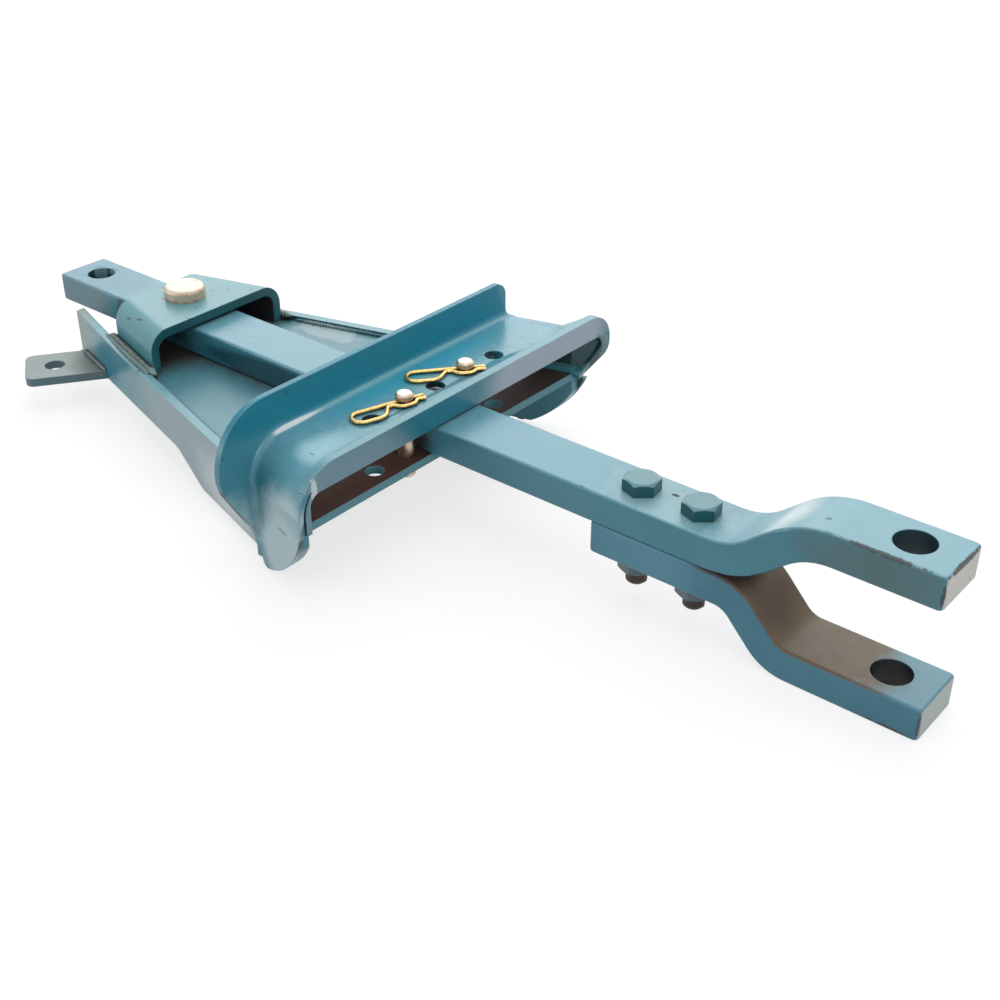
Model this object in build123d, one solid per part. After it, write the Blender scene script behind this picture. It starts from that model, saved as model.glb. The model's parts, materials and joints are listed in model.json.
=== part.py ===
from build123d import *
from math import cos, pi, radians, sin, sqrt, tan
import os

os.makedirs("parts", exist_ok=True)

# Swinging drawbar, in millimetres.
# The origin is on the hitch hole's axis, half way between the two jaws.
# +X points back along the bar to the hitch, +Y to the right side, +Z up.

# Drawbar
bar_width = 50.8
bar_thickness = 25.4
bar_edge_round = 2.2
bar_corner_round = 4.0
pivot_to_hitch = 698.0
bar_front_overhang = 153.0
hitch_to_end = 33.5
hitch_hole_d = 28.6
spare_hole_d = 25.4
spare_hole_to_end = 30.0

# Clevis jaws
jaw_gap = 77.0
jaw_rise = 40.0
upper_bend_to_hitch = 88.0
upper_bend_angle = 40.0
upper_bend_radius = 60.0
lower_bend_to_hitch = 94.0
lower_bend_angle = 47.0
lower_bend_radius = 29.0
strap_to_hitch = 230.0

# Clevis bolts
bolt_d = 16.0
bolt_hole_d = 16.6
bolt_spacing = 50.0
front_bolt_to_hitch = 203.4
bolt_head_across_flats = 25.0
bolt_head_height = 10.0
bolt_head_chamfer = 1.2
bolt_head_chamfer_angle = 27.0
bolt_head_turn = 40.0
nut_height = 13.0
bolt_end_beyond_nut = 11.0
spring_washer_od = 26.0
spring_washer_t = 3.4
spring_washer_split = 2.5

# Pivot pin
pivot_pin_d = 25.0
pivot_running_gap = 0.08
pivot_fixed_gap = 0.05
pivot_head_d = 36.0
pivot_head_height = 11.0
pivot_head_dome = 4.0
pivot_washer_od = 44.0
pivot_washer_t = 4.0
pivot_pin_below_washer = 15.0
split_pin_d = 5.0
split_pin_gap = 0.2
split_pin_leg_spread = 35.0
split_pin_leg_tail = 13.0
split_pin_eye_d = 9.0
split_pin_wire_d = 3.0

# Side rails
rail_t = 8.0
rail_front_to_hitch = 802.0
rail_half_width_front = 45.7
rail_half_width_rear = 165.1
rail_above_floor = 4.0
rail_depth_front = 35.5
rail_depth_rear = 54.0
rail_step_to_front = 228.0
rail_step_length = 44.0
rail_nose_rise = 5.0
rail_nose_length = 97.0

# Floor plate
bar_slide_gap = 0.6
floor_t = 6.0
floor_front_to_pivot = 37.0

# Mounting lugs
lug_t = 7.5
lug_hole_d = 18.0
lug_width = 50.0
lug_root_to_rail_front = 33.0
lug_reach = 62.7
lug_hole_to_end = 26.0
lug_sweep_angle = 54.5
lug_corner_round = 8.0

# Pivot bracket
bracket_t = 8.0
bracket_bend_radius = 19.0
bracket_bar_gap = 3.1
bracket_front_to_pivot = 35.0
bracket_rear_to_pivot = 41.0
bracket_weld_width = 4.7
bracket_weld_rise = 1.5

# Pressed guide
sheet_t = 5.0
guide_rear_to_hitch = 383.0
guide_depth = 57.5
guide_top_above_bar = 18.5
guide_left_bend_radius = 34.0
guide_right_bend_radius = 20.0
skirt_rail_gap = 0.0
skirt_lap_height = 30.0
foot_above_jaw = 2.0
foot_tip_round = 6.0
foot_tip_flat = 1.5
foot_sweep_radius = 90.0

# Flared end of the guide
flare_length = 31.0
flare_lap = 2.0

# Guide flange
flange_height = 31.6
flange_reach = 32.0
flange_corner_radius = 48.0
flange_side_above_floor = 17.6
flange_side_round = 36.0
flange_run_out_below_floor = 36.0
flange_run_out_round = 40.0
flange_bend_radius = 7.0
flange_bend_steps = 6
flange_right_setback = 17.0
flange_end_round = 12.0
flange_root_round = 7.0
flange_root_drop = 1.5

# Slot plate
slot_plate_t = 8.0
slot_plate_above_guide = 2.5
slot_bar_gap = 1.5
slot_left_band = 5.1
slot_right_band = 11.5
slot_corner_radius = 10.0
slot_right_low_above_bar = 15.5
slot_plate_beyond_guide = 29.4
slot_plate_right_low_above_bar = 9.0
slot_plate_right_top_radius = 26.0
slot_plate_right_low_radius = 12.0
slot_plate_leg_below_floor = 3.0

# Guide bottom plate
bottom_plate_t = 7.0

# Stop pins
stop_pin_d = 14.0
stop_pin_bar_gap = 3.1
stop_hole_d = 15.5
stop_hole_count = 5
stop_hole_to_rear = 16.0
stop_pin_above_guide = 8.5
stop_pin_below_guide = 12.0
stop_pin_chamfer = 1.5

# Hairpin clips
wire_d = 3.2
wire_hole_d = 3.8
wire_lift = 0.3
clip_side_gap = 0.3
clip_tail = 16.0
clip_neck_to_pin = 16.0
clip_loop_length = 32.0
clip_loop_width = 16.5
clip_shoulder = 8.0
clip_shoulder_round = 10.0
clip_waist = 5.0
clip_flare_length = 7.0
clip_flare = 1.5
left_clip_angle = 71.0
right_clip_angle = 50.0

# Smallest step that counts as off a face
flat_tolerance = 0.01

# Heights that follow from the values above
upper_jaw_under = jaw_gap / 2
bar_bottom = upper_jaw_under - jaw_rise
bar_top = bar_bottom + bar_thickness
lower_jaw_top = -jaw_gap / 2
strap_bottom = bar_bottom - bar_thickness
floor_top = bar_bottom - bar_slide_gap
floor_bottom = floor_top - floor_t
rail_top = floor_top + rail_above_floor
bracket_under = bar_top + bracket_bar_gap
bracket_top = bracket_under + bracket_t
guide_top = bar_top + guide_top_above_bar
bottom_plate_under = floor_top - bottom_plate_t
foot_low = lower_jaw_top - bar_thickness + foot_above_jaw
slot_top = bar_top + slot_bar_gap
slot_plate_top = guide_top + slot_plate_above_guide

stop_hole_pitch = (bar_width + stop_pin_d) / 2 + stop_pin_bar_gap

# Stations along the bar
pivot_x = -pivot_to_hitch
bar_front_x = pivot_x - bar_front_overhang
bar_rear_x = hitch_to_end
front_bolt_x = -front_bolt_to_hitch
rear_bolt_x = front_bolt_x + bolt_spacing
rail_front_x = -rail_front_to_hitch
guide_rear_x = -guide_rear_to_hitch
guide_front_x = guide_rear_x - guide_depth
skirt_rear_x = guide_rear_x + slot_plate_t
flange_front_x = guide_front_x - sheet_t
stop_x = guide_rear_x - stop_hole_to_rear
bracket_front_x = pivot_x - bracket_front_to_pivot
bracket_rear_x = pivot_x + bracket_rear_to_pivot
floor_front_x = pivot_x - floor_front_to_pivot
rail_slope = (rail_half_width_rear - rail_half_width_front) / (guide_rear_x - rail_front_x)
rail_side_t = rail_t * sqrt(1 + rail_slope**2)
guide_width = 2 * rail_half_width_rear


def box_between(low, high):
    """A block given by its two opposite corners."""
    size = [b - a for a, b in zip(low, high)]
    centre = [(a + b) / 2 for a, b in zip(low, high)]
    return Pos(*centre) * Box(*size)


def plan(points, low, high):
    """A plate cut to an outline seen from above."""
    outline = make_face(Polyline(*points, close=True))
    return Pos(0, 0, low) * extrude(outline, high - low)


def side_profile(face, half_width):
    """A block as wide as asked, cut to a face drawn as seen from the side."""
    return extrude(Plane.XZ * face, half_width, both=True)


def rod(diameter, x, y, low, high):
    """An upright round bar."""
    return Pos(x, y, (low + high) / 2) * Cylinder(diameter / 2, high - low)


def rail_outer_y(x):
    """Half width over the rails at a station along the bar."""
    return rail_half_width_front + rail_slope * (x - rail_front_x)


def rail_inner_y(x):
    """Half width between the rails at a station along the bar."""
    return rail_outer_y(x) - rail_side_t


def mirrored(shape):
    """The same piece on the other side of the bar."""
    return mirror(shape, about=Plane.XZ)


# Bars bent in one plane


def bent_bar(points, radius):
    """A flat bar whose middle line follows points in the XZ plane."""
    path = Plane.XZ * FilletPolyline(*points, radius=radius)
    start = Plane(origin=path @ 0, x_dir=(0, 1, 0), z_dir=path % 0)
    return sweep(start * Rectangle(bar_width, bar_thickness), path)


def finished_bar(solid):
    """Rounds the four upright corners and the long edges of a bent bar."""
    solid = fillet(solid.edges().filter_by(Axis.Z), bar_corner_round)
    sides = [e for e in solid.edges() if abs(abs(e.center().Y) - bar_width / 2) < flat_tolerance]
    return fillet(sides, bar_edge_round)


def make_drawbar():
    middle = bar_bottom + bar_thickness / 2
    run = jaw_rise / tan(radians(upper_bend_angle))
    bend = -upper_bend_to_hitch
    points = [
        (bar_front_x, middle),
        (bend - run / 2, middle),
        (bend + run / 2, middle + jaw_rise),
        (bar_rear_x, middle + jaw_rise),
    ]
    bar = finished_bar(bent_bar(points, upper_bend_radius))
    jaw_top = upper_jaw_under + bar_thickness
    bar -= rod(hitch_hole_d, 0, 0, upper_jaw_under - 1, jaw_top + 1)
    bar -= rod(pivot_pin_d + 2 * pivot_running_gap, pivot_x, 0, bar_bottom - 1, bar_top + 1)
    bar -= rod(spare_hole_d, bar_front_x + spare_hole_to_end, 0, bar_bottom - 1, bar_top + 1)
    for x in (front_bolt_x, rear_bolt_x):
        bar -= rod(bolt_hole_d, x, 0, bar_bottom - 1, bar_top + 1)
    return bar


def make_clevis_strap():
    middle = bar_bottom - bar_thickness / 2
    drop = bar_bottom - lower_jaw_top
    run = drop / tan(radians(lower_bend_angle))
    bend = -lower_bend_to_hitch
    points = [
        (-strap_to_hitch, middle),
        (bend - run / 2, middle),
        (bend + run / 2, middle - drop),
        (bar_rear_x, middle - drop),
    ]
    strap = finished_bar(bent_bar(points, lower_bend_radius))
    jaw_under = lower_jaw_top - bar_thickness
    strap -= rod(hitch_hole_d, 0, 0, jaw_under - 1, lower_jaw_top + 1)
    for x in (front_bolt_x, rear_bolt_x):
        strap -= rod(bolt_hole_d, x, 0, strap_bottom - 1, bar_bottom + 1)
    return strap


# Clevis bolts, spring washers and nuts


def hexagon(height, chamfer_above, chamfer_below):
    """A hexagon block with turned-down corners, standing on Z = 0."""
    corner_radius = bolt_head_across_flats / 2 / cos(pi / 6)
    block = extrude(Rot(0, 0, bolt_head_turn) * RegularPolygon(corner_radius, 6), height)
    reach = corner_radius - bolt_head_across_flats / 2 + bolt_head_chamfer
    drop = reach * tan(radians(bolt_head_chamfer_angle))
    turned = Pos(0, 0, height / 2) * Cylinder(corner_radius, height)
    if chamfer_above:
        turned = chamfer(turned.edges().group_by(Axis.Z)[-1], drop, reach)
    if chamfer_below:
        turned = chamfer(turned.edges().group_by(Axis.Z)[0], drop, reach)
    return block & turned


def make_clevis_bolt(x):
    nut_bottom = strap_bottom - spring_washer_t - nut_height
    end = nut_bottom - bolt_end_beyond_nut
    shank = rod(bolt_d, x, 0, end, bar_top)
    shank = chamfer(shank.edges().group_by(Axis.Z)[0], bolt_d / 10)
    return shank + Pos(x, 0, bar_top) * hexagon(bolt_head_height, True, False)


def make_spring_washer(x):
    high = strap_bottom
    low = high - spring_washer_t
    ring = rod(spring_washer_od, x, 0, low, high) - rod(bolt_hole_d, x, 0, low - 1, high + 1)
    cut = Box(spring_washer_od, spring_washer_split, spring_washer_t * 3)
    slanted = Pos(x + spring_washer_od / 2, 0, (low + high) / 2) * Rot(20, 0, 0) * cut
    return ring - slanted


def make_clevis_nut(x):
    low = strap_bottom - spring_washer_t - nut_height
    nut = Pos(x, 0, low) * hexagon(nut_height, True, True)
    return nut - rod(bolt_d, x, 0, low - 1, low + nut_height + 1)


# Frame pieces


def make_rail():
    """Left side rail: a plate on edge, deeper at the guide, with a raised nose."""
    front_low = floor_top - rail_depth_front
    rear_low = floor_top - rail_depth_rear
    step = rail_front_x + rail_step_to_front
    half_step = rail_step_length / 2
    outline = [
        (rail_front_x, front_low),
        (step - half_step, front_low),
        (step + half_step, rear_low),
        (guide_rear_x, rear_low),
        (guide_rear_x, rail_top),
        (rail_front_x + rail_nose_length, rail_top),
        (rail_front_x, rail_top + rail_nose_rise),
    ]
    face = make_face(Polyline(*outline, close=True))
    rounds = [v for v in face.vertices() if abs(v.X - step) < half_step + 1 and v.Y < floor_top]
    face = fillet(rounds, rail_step_length / 2)
    web = extrude(Plane.XZ * face, rail_half_width_rear * 2, both=True)
    strip = [
        (rail_front_x, -rail_outer_y(rail_front_x)),
        (guide_rear_x, -rail_outer_y(guide_rear_x)),
        (guide_rear_x, -rail_inner_y(guide_rear_x)),
        (rail_front_x, -rail_inner_y(rail_front_x)),
    ]
    rail = web & plan(strip, rear_low - 1, rail_top + rail_nose_rise + 1)
    behind_skirt = box_between(
        (guide_front_x, -guide_width, rear_low - 1),
        (guide_rear_x, guide_width, rail_top + 1),
    )
    return rail - (behind_skirt - side_profile(foot_outline(), guide_width))


def make_lug():
    """Left mounting lug: a flat strip from the foot of the rail, swept forward."""
    low = floor_top - rail_depth_front
    along = Vector(-cos(radians(lug_sweep_angle)), -sin(radians(lug_sweep_angle)))
    across = Vector(-along.Y, along.X) * (lug_width / 2)
    root_x = rail_front_x + lug_root_to_rail_front
    root = Vector(root_x, -rail_outer_y(root_x))
    end = root + along * lug_reach
    closing = along.Y + rail_slope * along.X

    def on_rail(place):
        off_rail = place.Y + rail_outer_y(place.X)
        return place - along * (off_rail / closing)

    corners = [on_rail(end + across), end + across, end - across, on_rail(end - across)]
    tab = plan([(c.X, c.Y) for c in corners], low, low + lug_t)
    outer = [
        tab.edges().filter_by(Axis.Z).sort_by_distance((c.X, c.Y, low + lug_t / 2))[0]
        for c in corners[1:3]
    ]
    tab = fillet(outer, lug_corner_round)
    hole = root + along * (lug_reach - lug_hole_to_end)
    return tab - rod(lug_hole_d, hole.X, hole.Y, low - 1, low + lug_t + 1)


def make_floor_plate():
    x0, x1 = floor_front_x, guide_front_x
    outline = [
        (x0, -rail_inner_y(x0)),
        (x1, -rail_inner_y(x1)),
        (x1, rail_inner_y(x1)),
        (x0, rail_inner_y(x0)),
    ]
    plate = plan(outline, floor_bottom, floor_top)
    hole = rod(pivot_pin_d + 2 * pivot_fixed_gap, pivot_x, 0, floor_bottom - 1, floor_top + 1)
    return plate - hole


def make_guide_bottom_plate():
    x0, x1 = guide_front_x, guide_rear_x
    outline = [
        (x0, -rail_inner_y(x0)),
        (x1, -rail_inner_y(x1)),
        (x1, rail_inner_y(x1)),
        (x0, rail_inner_y(x0)),
    ]
    plate = plan(outline, bottom_plate_under, floor_top)
    return plate - stop_holes(bottom_plate_under - 1, floor_top + 1)


def stop_hole_places():
    middle = (stop_hole_count - 1) / 2
    return [stop_hole_pitch * (i - middle) for i in range(stop_hole_count)]


def stop_holes(low, high):
    """The row of holes that the stop pins drop into."""
    return [rod(stop_hole_d, stop_x, y, low, high) for y in stop_hole_places()]


# Sheet bent over the bar


def hood_face(x, half, top, low, left_round, right_round):
    """Filled outline of a bent hood across the bar at one station."""
    points = [(-half, low), (-half, top), (half, top), (half, low)]
    face = make_face(Polyline(*points, close=True))
    left, right = face.vertices().group_by(Axis.Y)[-1].sort_by(Axis.X)
    face = fillet(left, left_round)
    right = face.vertices().sort_by_distance((half, top, 0))[0]
    face = fillet(right, right_round)
    return Plane.YZ.offset(x) * face


def make_pivot_bracket():
    """Inverted U over the bar whose legs follow the rails."""

    def block(shrink, top, low, bend):
        faces = []
        for x in (bracket_front_x, bracket_rear_x):
            half = rail_inner_y(x) - bracket_weld_width - shrink
            faces.append(hood_face(x, half, top, low, bend, bend))
        return loft(faces, ruled=True)

    outer = block(0, bracket_top, floor_top, bracket_bend_radius)
    inner = block(bracket_t, bracket_under, floor_top - 1, bracket_bend_radius - bracket_t)
    hole = rod(pivot_pin_d + 2 * pivot_fixed_gap, pivot_x, 0, bracket_under - 1, bracket_top + 1)
    return outer - inner - hole


def make_bracket_weld():
    """Bead along the foot of the bracket's left leg, against the rail."""
    outline = [
        (bracket_front_x, -rail_inner_y(bracket_front_x)),
        (bracket_rear_x, -rail_inner_y(bracket_rear_x)),
        (bracket_rear_x, -rail_inner_y(bracket_rear_x) + bracket_weld_width),
        (bracket_front_x, -rail_inner_y(bracket_front_x) + bracket_weld_width),
    ]
    return plan(outline, floor_top, rail_top + bracket_weld_rise)


def guide_outline(x, inset):
    """Filled outline of the guide across the bar, inset by a sheet if asked."""
    half = rail_outer_y(x) + skirt_rail_gap + sheet_t - inset
    left_round = guide_left_bend_radius - inset
    right_round = guide_right_bend_radius - inset
    return hood_face(x, half, guide_top - inset, foot_low, left_round, right_round)


def guide_solid(inset, front, rear):
    """The space under the guide's outer face, or under its inner one."""
    return loft([guide_outline(front, inset), guide_outline(rear, inset)], ruled=True)


def make_guide_arch():
    """Pressed guide: a hood over the bar, two feet, a flange in front and a flared end."""
    hood = guide_solid(0, guide_front_x, skirt_rear_x)
    hood -= guide_solid(sheet_t, guide_front_x, skirt_rear_x)
    hood &= side_profile(foot_outline(), guide_width)
    hood -= box_between(
        (guide_rear_x, -guide_width, skirt_top()),
        (skirt_rear_x + 1, guide_width, guide_top + 1),
    )
    hood -= box_between(
        (guide_rear_x, 0, bottom_plate_under),
        (skirt_rear_x + 1, guide_width, guide_top + 1),
    )
    guide = hood + make_flange() + make_flange_bend()
    guide += flare_block(0) - guide_solid(sheet_t, guide_front_x, guide_rear_x)
    guide -= flare_block(sheet_t)
    return guide - stop_holes(guide_top - sheet_t - 1, guide_top + 1)


def foot_outline():
    """Side view of the skirts: upright in front, swept back to a foot behind."""
    top = guide_top + 1
    heel = (skirt_rear_x, floor_top)
    tip = (guide_front_x + foot_tip_round + foot_tip_flat, foot_low)
    outline = Polyline(heel, (skirt_rear_x, top), (guide_front_x, top), (guide_front_x, foot_low), tip)
    face = make_face(outline + RadiusArc(tip, heel, -foot_sweep_radius))
    front = face.vertices().sort_by_distance((guide_front_x, foot_low, 0))[0]
    return fillet(front, foot_tip_round)


def flange_face():
    """Outline of the flange as seen from behind, down to where it runs out."""
    top = guide_top + flange_height
    half = rail_outer_y(guide_front_x) + skirt_rail_gap + sheet_t
    side = -half - flange_reach
    side_low = floor_top + flange_side_above_floor
    run_out = floor_top - flange_run_out_below_floor
    right = half - flange_right_setback
    root = guide_top - flange_root_drop
    points = [
        (right, top),
        (side, top),
        (side, side_low),
        (-half, run_out),
        (-half, foot_low + foot_tip_round),
        (-half + sheet_t, foot_low + foot_tip_round),
        (0, guide_top - sheet_t),
        (right + flange_root_round, guide_top - sheet_t),
        (right + flange_root_round, root),
        (right, root),
    ]
    face = make_face(Polyline(*points, close=True))
    for place, radius in (
        ((side, top, 0), flange_corner_radius),
        ((side, side_low, 0), flange_side_round),
        ((-half, run_out, 0), flange_run_out_round),
        ((right, top, 0), flange_end_round),
        ((right, root, 0), flange_root_round * (1 - flat_tolerance)),
    ):
        face = fillet(face.vertices().sort_by_distance(place)[0], radius)
    return face


def make_flange():
    """Flange that stands out of the guide's front edge and runs out at the feet."""
    plate = extrude(Plane.YZ.offset(flange_front_x) * flange_face(), sheet_t)
    opening = extrude(guide_outline(guide_front_x, sheet_t), sheet_t + 1, both=True)
    return plate - opening


def make_flange_bend():
    """Hollow bend between the flange's rear face and the hood."""
    rear = guide_front_x + flange_bend_radius
    sections = []
    for i in range(flange_bend_steps + 1):
        turn = pi / 2 * i / flange_bend_steps
        x = rear - flange_bend_radius * cos(turn)
        sections.append(guide_outline(x, flange_bend_radius * (sin(turn) - 1)))
    bend = loft(sections, ruled=True)
    bend &= extrude(Plane.YZ.offset(guide_front_x) * flange_face(), flange_bend_radius)
    return bend - guide_solid(sheet_t, guide_front_x, rear)


def flare_block(inset):
    """Block that fills the flared right end, or the space inside its sheet."""
    front_x = guide_rear_x - flare_length + inset
    half_front = rail_outer_y(front_x) + skirt_rail_gap + sheet_t
    half_rear = rail_outer_y(guide_rear_x) + skirt_rail_gap + sheet_t
    into_skirt = flare_lap if inset == 0 else sheet_t + 1
    right = half_rear + slot_plate_beyond_guide - inset
    wedge = [
        (front_x, half_front - into_skirt),
        (front_x, half_front),
        (guide_rear_x, right),
        (guide_rear_x, half_rear - into_skirt),
    ]
    face = slot_plate_outline()
    if inset:
        face = offset(face, -inset)
    end = extrude(Plane.YZ.offset(guide_rear_x) * face, -flare_length)
    return end & plan(wedge, foot_low, slot_plate_top + 1)


def skirt_top():
    """Height up to which the left skirt laps the slot plate's edge."""
    return bar_bottom + skirt_lap_height


def slot_plate_outline():
    """Outline of the slot plate as seen from behind, without its slot."""
    low = floor_top - slot_plate_leg_below_floor
    half = rail_outer_y(guide_rear_x) + skirt_rail_gap
    right = half + sheet_t + slot_plate_beyond_guide
    right_low = bar_bottom + slot_plate_right_low_above_bar
    outer = [
        (-half - sheet_t, low),
        (-half - sheet_t, slot_plate_top),
        (right, slot_plate_top),
        (right, right_low),
        (half, floor_top),
        (half - rail_side_t, low),
    ]
    face = make_face(Polyline(*outer, close=True))
    for place, radius in (
        ((-half - sheet_t, slot_plate_top, 0), guide_left_bend_radius + slot_plate_above_guide),
        ((right, slot_plate_top, 0), slot_plate_right_top_radius),
        ((right, right_low, 0), slot_plate_right_low_radius),
    ):
        face = fillet(face.vertices().sort_by_distance(place)[0], radius)
    return face


def make_slot_plate():
    """Plate across the guide's rear, with the slot that the bar swings in."""
    low = floor_top - slot_plate_leg_below_floor
    half = rail_outer_y(guide_rear_x) + skirt_rail_gap
    right = half + sheet_t + slot_plate_beyond_guide
    slot_low = bar_bottom + slot_right_low_above_bar
    slot_left = -half + slot_left_band
    slot_right = right - slot_right_band
    slot = [
        (slot_left, low - 1),
        (slot_left, slot_top),
        (slot_right, slot_top),
        (slot_right, slot_low),
        (half - rail_side_t, floor_top),
        (half - rail_side_t, low - 1),
    ]
    hole = make_face(Polyline(*slot, close=True))
    for place in ((slot_left, slot_top, 0), (slot_right, slot_top, 0)):
        hole = fillet(hole.vertices().sort_by_distance(place)[0], slot_corner_radius)
    plate = extrude(Plane.YZ.offset(guide_rear_x) * (slot_plate_outline() - hole), slot_plate_t)
    lap = box_between(
        (guide_rear_x, -guide_width, low - 1),
        (skirt_rear_x, 0, skirt_top()),
    )
    return plate - (lap - extrude(guide_outline(guide_rear_x, sheet_t), slot_plate_t))


# Pins


def make_pivot_pin():
    low = floor_bottom - pivot_washer_t - pivot_pin_below_washer
    shank = rod(pivot_pin_d, pivot_x, 0, low, bracket_top)
    shank = chamfer(shank.edges().group_by(Axis.Z)[0], 2)
    head = rod(pivot_head_d, pivot_x, 0, bracket_top, bracket_top + pivot_head_height)
    head = fillet(head.edges().group_by(Axis.Z)[-1], pivot_head_dome)
    hole = Pos(pivot_x, 0, split_pin_z()) * Rot(90, 0, 0) * Cylinder(
        split_pin_d / 2 + split_pin_gap, pivot_pin_d * 2
    )
    return shank + head - hole


def split_pin_z():
    """Height of the split pin's hole, just under the washer."""
    return floor_bottom - pivot_washer_t - split_pin_d / 2 - split_pin_gap


def make_pivot_washer():
    high = floor_bottom
    low = high - pivot_washer_t
    ring = rod(pivot_washer_od, pivot_x, 0, low, high)
    return ring - rod(pivot_pin_d + 2 * pivot_fixed_gap, pivot_x, 0, low - 1, high + 1)


def make_split_pin():
    """Split pin through the foot of the pivot pin, its legs spread on the right."""
    z = split_pin_z()
    reach = pivot_pin_d / 2 + split_pin_wire_d
    spread = radians(split_pin_leg_spread)
    end_x = split_pin_leg_tail * sin(spread)
    end_y = reach + split_pin_leg_tail * cos(spread)
    half_round = Circle(split_pin_d / 2) & Pos(split_pin_d / 2, 0) * Rectangle(
        split_pin_d, split_pin_d
    )
    path = FilletPolyline((0, -reach), (0, reach), (end_x, end_y), radius=split_pin_d * 1.5)
    start = Plane(origin=path @ 0, x_dir=(1, 0, 0), z_dir=path % 0)
    leg = sweep(start * half_round, path)
    eye_radius = (split_pin_eye_d + split_pin_wire_d) / 2
    eye = Pos(0, -reach - eye_radius + split_pin_wire_d / 2, 0) * Torus(
        eye_radius, split_pin_wire_d / 2
    )
    pin = leg + mirror(leg, about=Plane.YZ) + eye
    return Pos(pivot_x, 0, z) * pin


def make_stop_pin(y):
    low = bottom_plate_under - stop_pin_below_guide
    high = guide_top + stop_pin_above_guide
    pin = rod(stop_pin_d, stop_x, y, low, high)
    ends = pin.edges().filter_by(GeomType.CIRCLE)
    return chamfer(ends, stop_pin_chamfer)


def clip_z():
    """Height of the clip's wire, lying just above the guide."""
    return guide_top + wire_lift + wire_d / 2


def wire_hole(y, angle):
    """Cross hole of a stop pin, along its clip's straight leg."""
    drill = Cylinder(wire_hole_d / 2, stop_pin_d * 2)
    return Pos(stop_x, y, clip_z()) * Rot(0, 0, angle) * Rot(0, 90, 0) * drill


def make_hairpin_clip(y, angle):
    """Hairpin of round wire: one leg through the pin, one sprung round it."""
    side = stop_pin_d / 2 + wire_d / 2 + clip_side_gap
    close = wire_d + clip_side_gap
    neck = -clip_neck_to_pin
    loop = neck - clip_loop_length
    points = [
        (clip_tail, 0),
        (loop, 0),
        (loop, -clip_loop_width),
        (neck - clip_shoulder, -clip_loop_width),
        (neck, -close),
        (neck + clip_waist, -close),
        (neck + 2 * clip_waist, -side),
        (clip_waist, -side),
        (clip_tail - clip_flare_length, -close),
        (clip_tail, -close - clip_flare),
    ]
    loop_round = clip_loop_width / 2 * (1 - flat_tolerance)
    radii = [loop_round, loop_round, clip_shoulder_round] + [clip_waist / 2] * 2 + [clip_waist] * 3
    path = FilletPolyline(*points, radius=radii)
    start = Plane(origin=path @ 0, z_dir=path % 0)
    wire = sweep(start * Circle(wire_d / 2), path)
    return Pos(stop_x, y, clip_z()) * Rot(0, 0, angle) * wire


def main():
    left_y = -stop_hole_pitch
    right_y = stop_hole_pitch
    rail = make_rail()
    lug = make_lug()
    bead = make_bracket_weld()
    pieces = {
        "drawbar": make_drawbar(),
        "clevis_strap": make_clevis_strap(),
        "front_clevis_bolt": make_clevis_bolt(front_bolt_x),
        "rear_clevis_bolt": make_clevis_bolt(rear_bolt_x),
        "front_spring_washer": make_spring_washer(front_bolt_x),
        "rear_spring_washer": make_spring_washer(rear_bolt_x),
        "front_clevis_nut": make_clevis_nut(front_bolt_x),
        "rear_clevis_nut": make_clevis_nut(rear_bolt_x),
        "left_side_rail": rail,
        "right_side_rail": mirrored(rail),
        "left_mounting_lug": lug,
        "right_mounting_lug": mirrored(lug),
        "floor_plate": make_floor_plate(),
        "pivot_bracket": make_pivot_bracket(),
        "left_bracket_weld": bead,
        "right_bracket_weld": mirrored(bead),
        "guide_arch": make_guide_arch(),
        "guide_slot_plate": make_slot_plate(),
        "guide_bottom_plate": make_guide_bottom_plate(),
        "pivot_pin": make_pivot_pin(),
        "pivot_washer": make_pivot_washer(),
        "pivot_split_pin": make_split_pin(),
        "left_stop_pin": make_stop_pin(left_y) - wire_hole(left_y, left_clip_angle),
        "right_stop_pin": make_stop_pin(right_y) - wire_hole(right_y, right_clip_angle),
        "left_hairpin_clip": make_hairpin_clip(left_y, left_clip_angle),
        "right_hairpin_clip": make_hairpin_clip(right_y, right_clip_angle),
    }
    for name, shape in pieces.items():
        export_step(shape, f"parts/{name}.step")


main()
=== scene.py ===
# %% [markdown]
# # A swinging drawbar, dressed for a studio picture
# The solids come from the CAD model and are loaded as a fixed frame: they are never moved.
# Here they get their finish, and the small things that welding, painting and use leave behind.

# %% Load the frame
import bpy
import json
import random
from math import ceil, pi, radians
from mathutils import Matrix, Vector


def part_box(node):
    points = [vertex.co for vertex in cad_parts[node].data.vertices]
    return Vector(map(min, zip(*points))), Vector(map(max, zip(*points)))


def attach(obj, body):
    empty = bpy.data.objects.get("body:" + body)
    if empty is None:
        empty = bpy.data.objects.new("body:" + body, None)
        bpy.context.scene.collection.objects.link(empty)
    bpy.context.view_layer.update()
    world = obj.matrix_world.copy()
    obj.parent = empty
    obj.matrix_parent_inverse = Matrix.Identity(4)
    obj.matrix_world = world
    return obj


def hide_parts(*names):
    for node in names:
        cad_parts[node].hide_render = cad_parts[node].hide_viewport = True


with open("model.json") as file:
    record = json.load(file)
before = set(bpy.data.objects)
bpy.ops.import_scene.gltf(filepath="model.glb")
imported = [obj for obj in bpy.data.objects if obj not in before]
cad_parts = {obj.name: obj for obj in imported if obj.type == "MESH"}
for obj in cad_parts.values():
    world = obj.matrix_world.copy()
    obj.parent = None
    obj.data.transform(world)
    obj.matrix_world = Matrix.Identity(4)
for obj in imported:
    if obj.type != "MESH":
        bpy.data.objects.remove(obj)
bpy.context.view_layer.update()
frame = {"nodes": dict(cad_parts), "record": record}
nodes = frame["nodes"]
MM = 0.001

# %% [markdown]
# ## The camera
# The picture is taken from behind and to the left, looking down on the bar by about thirty degrees.
# A direction is easier to read than three angles, so the camera is turned to look along a vector.

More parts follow.
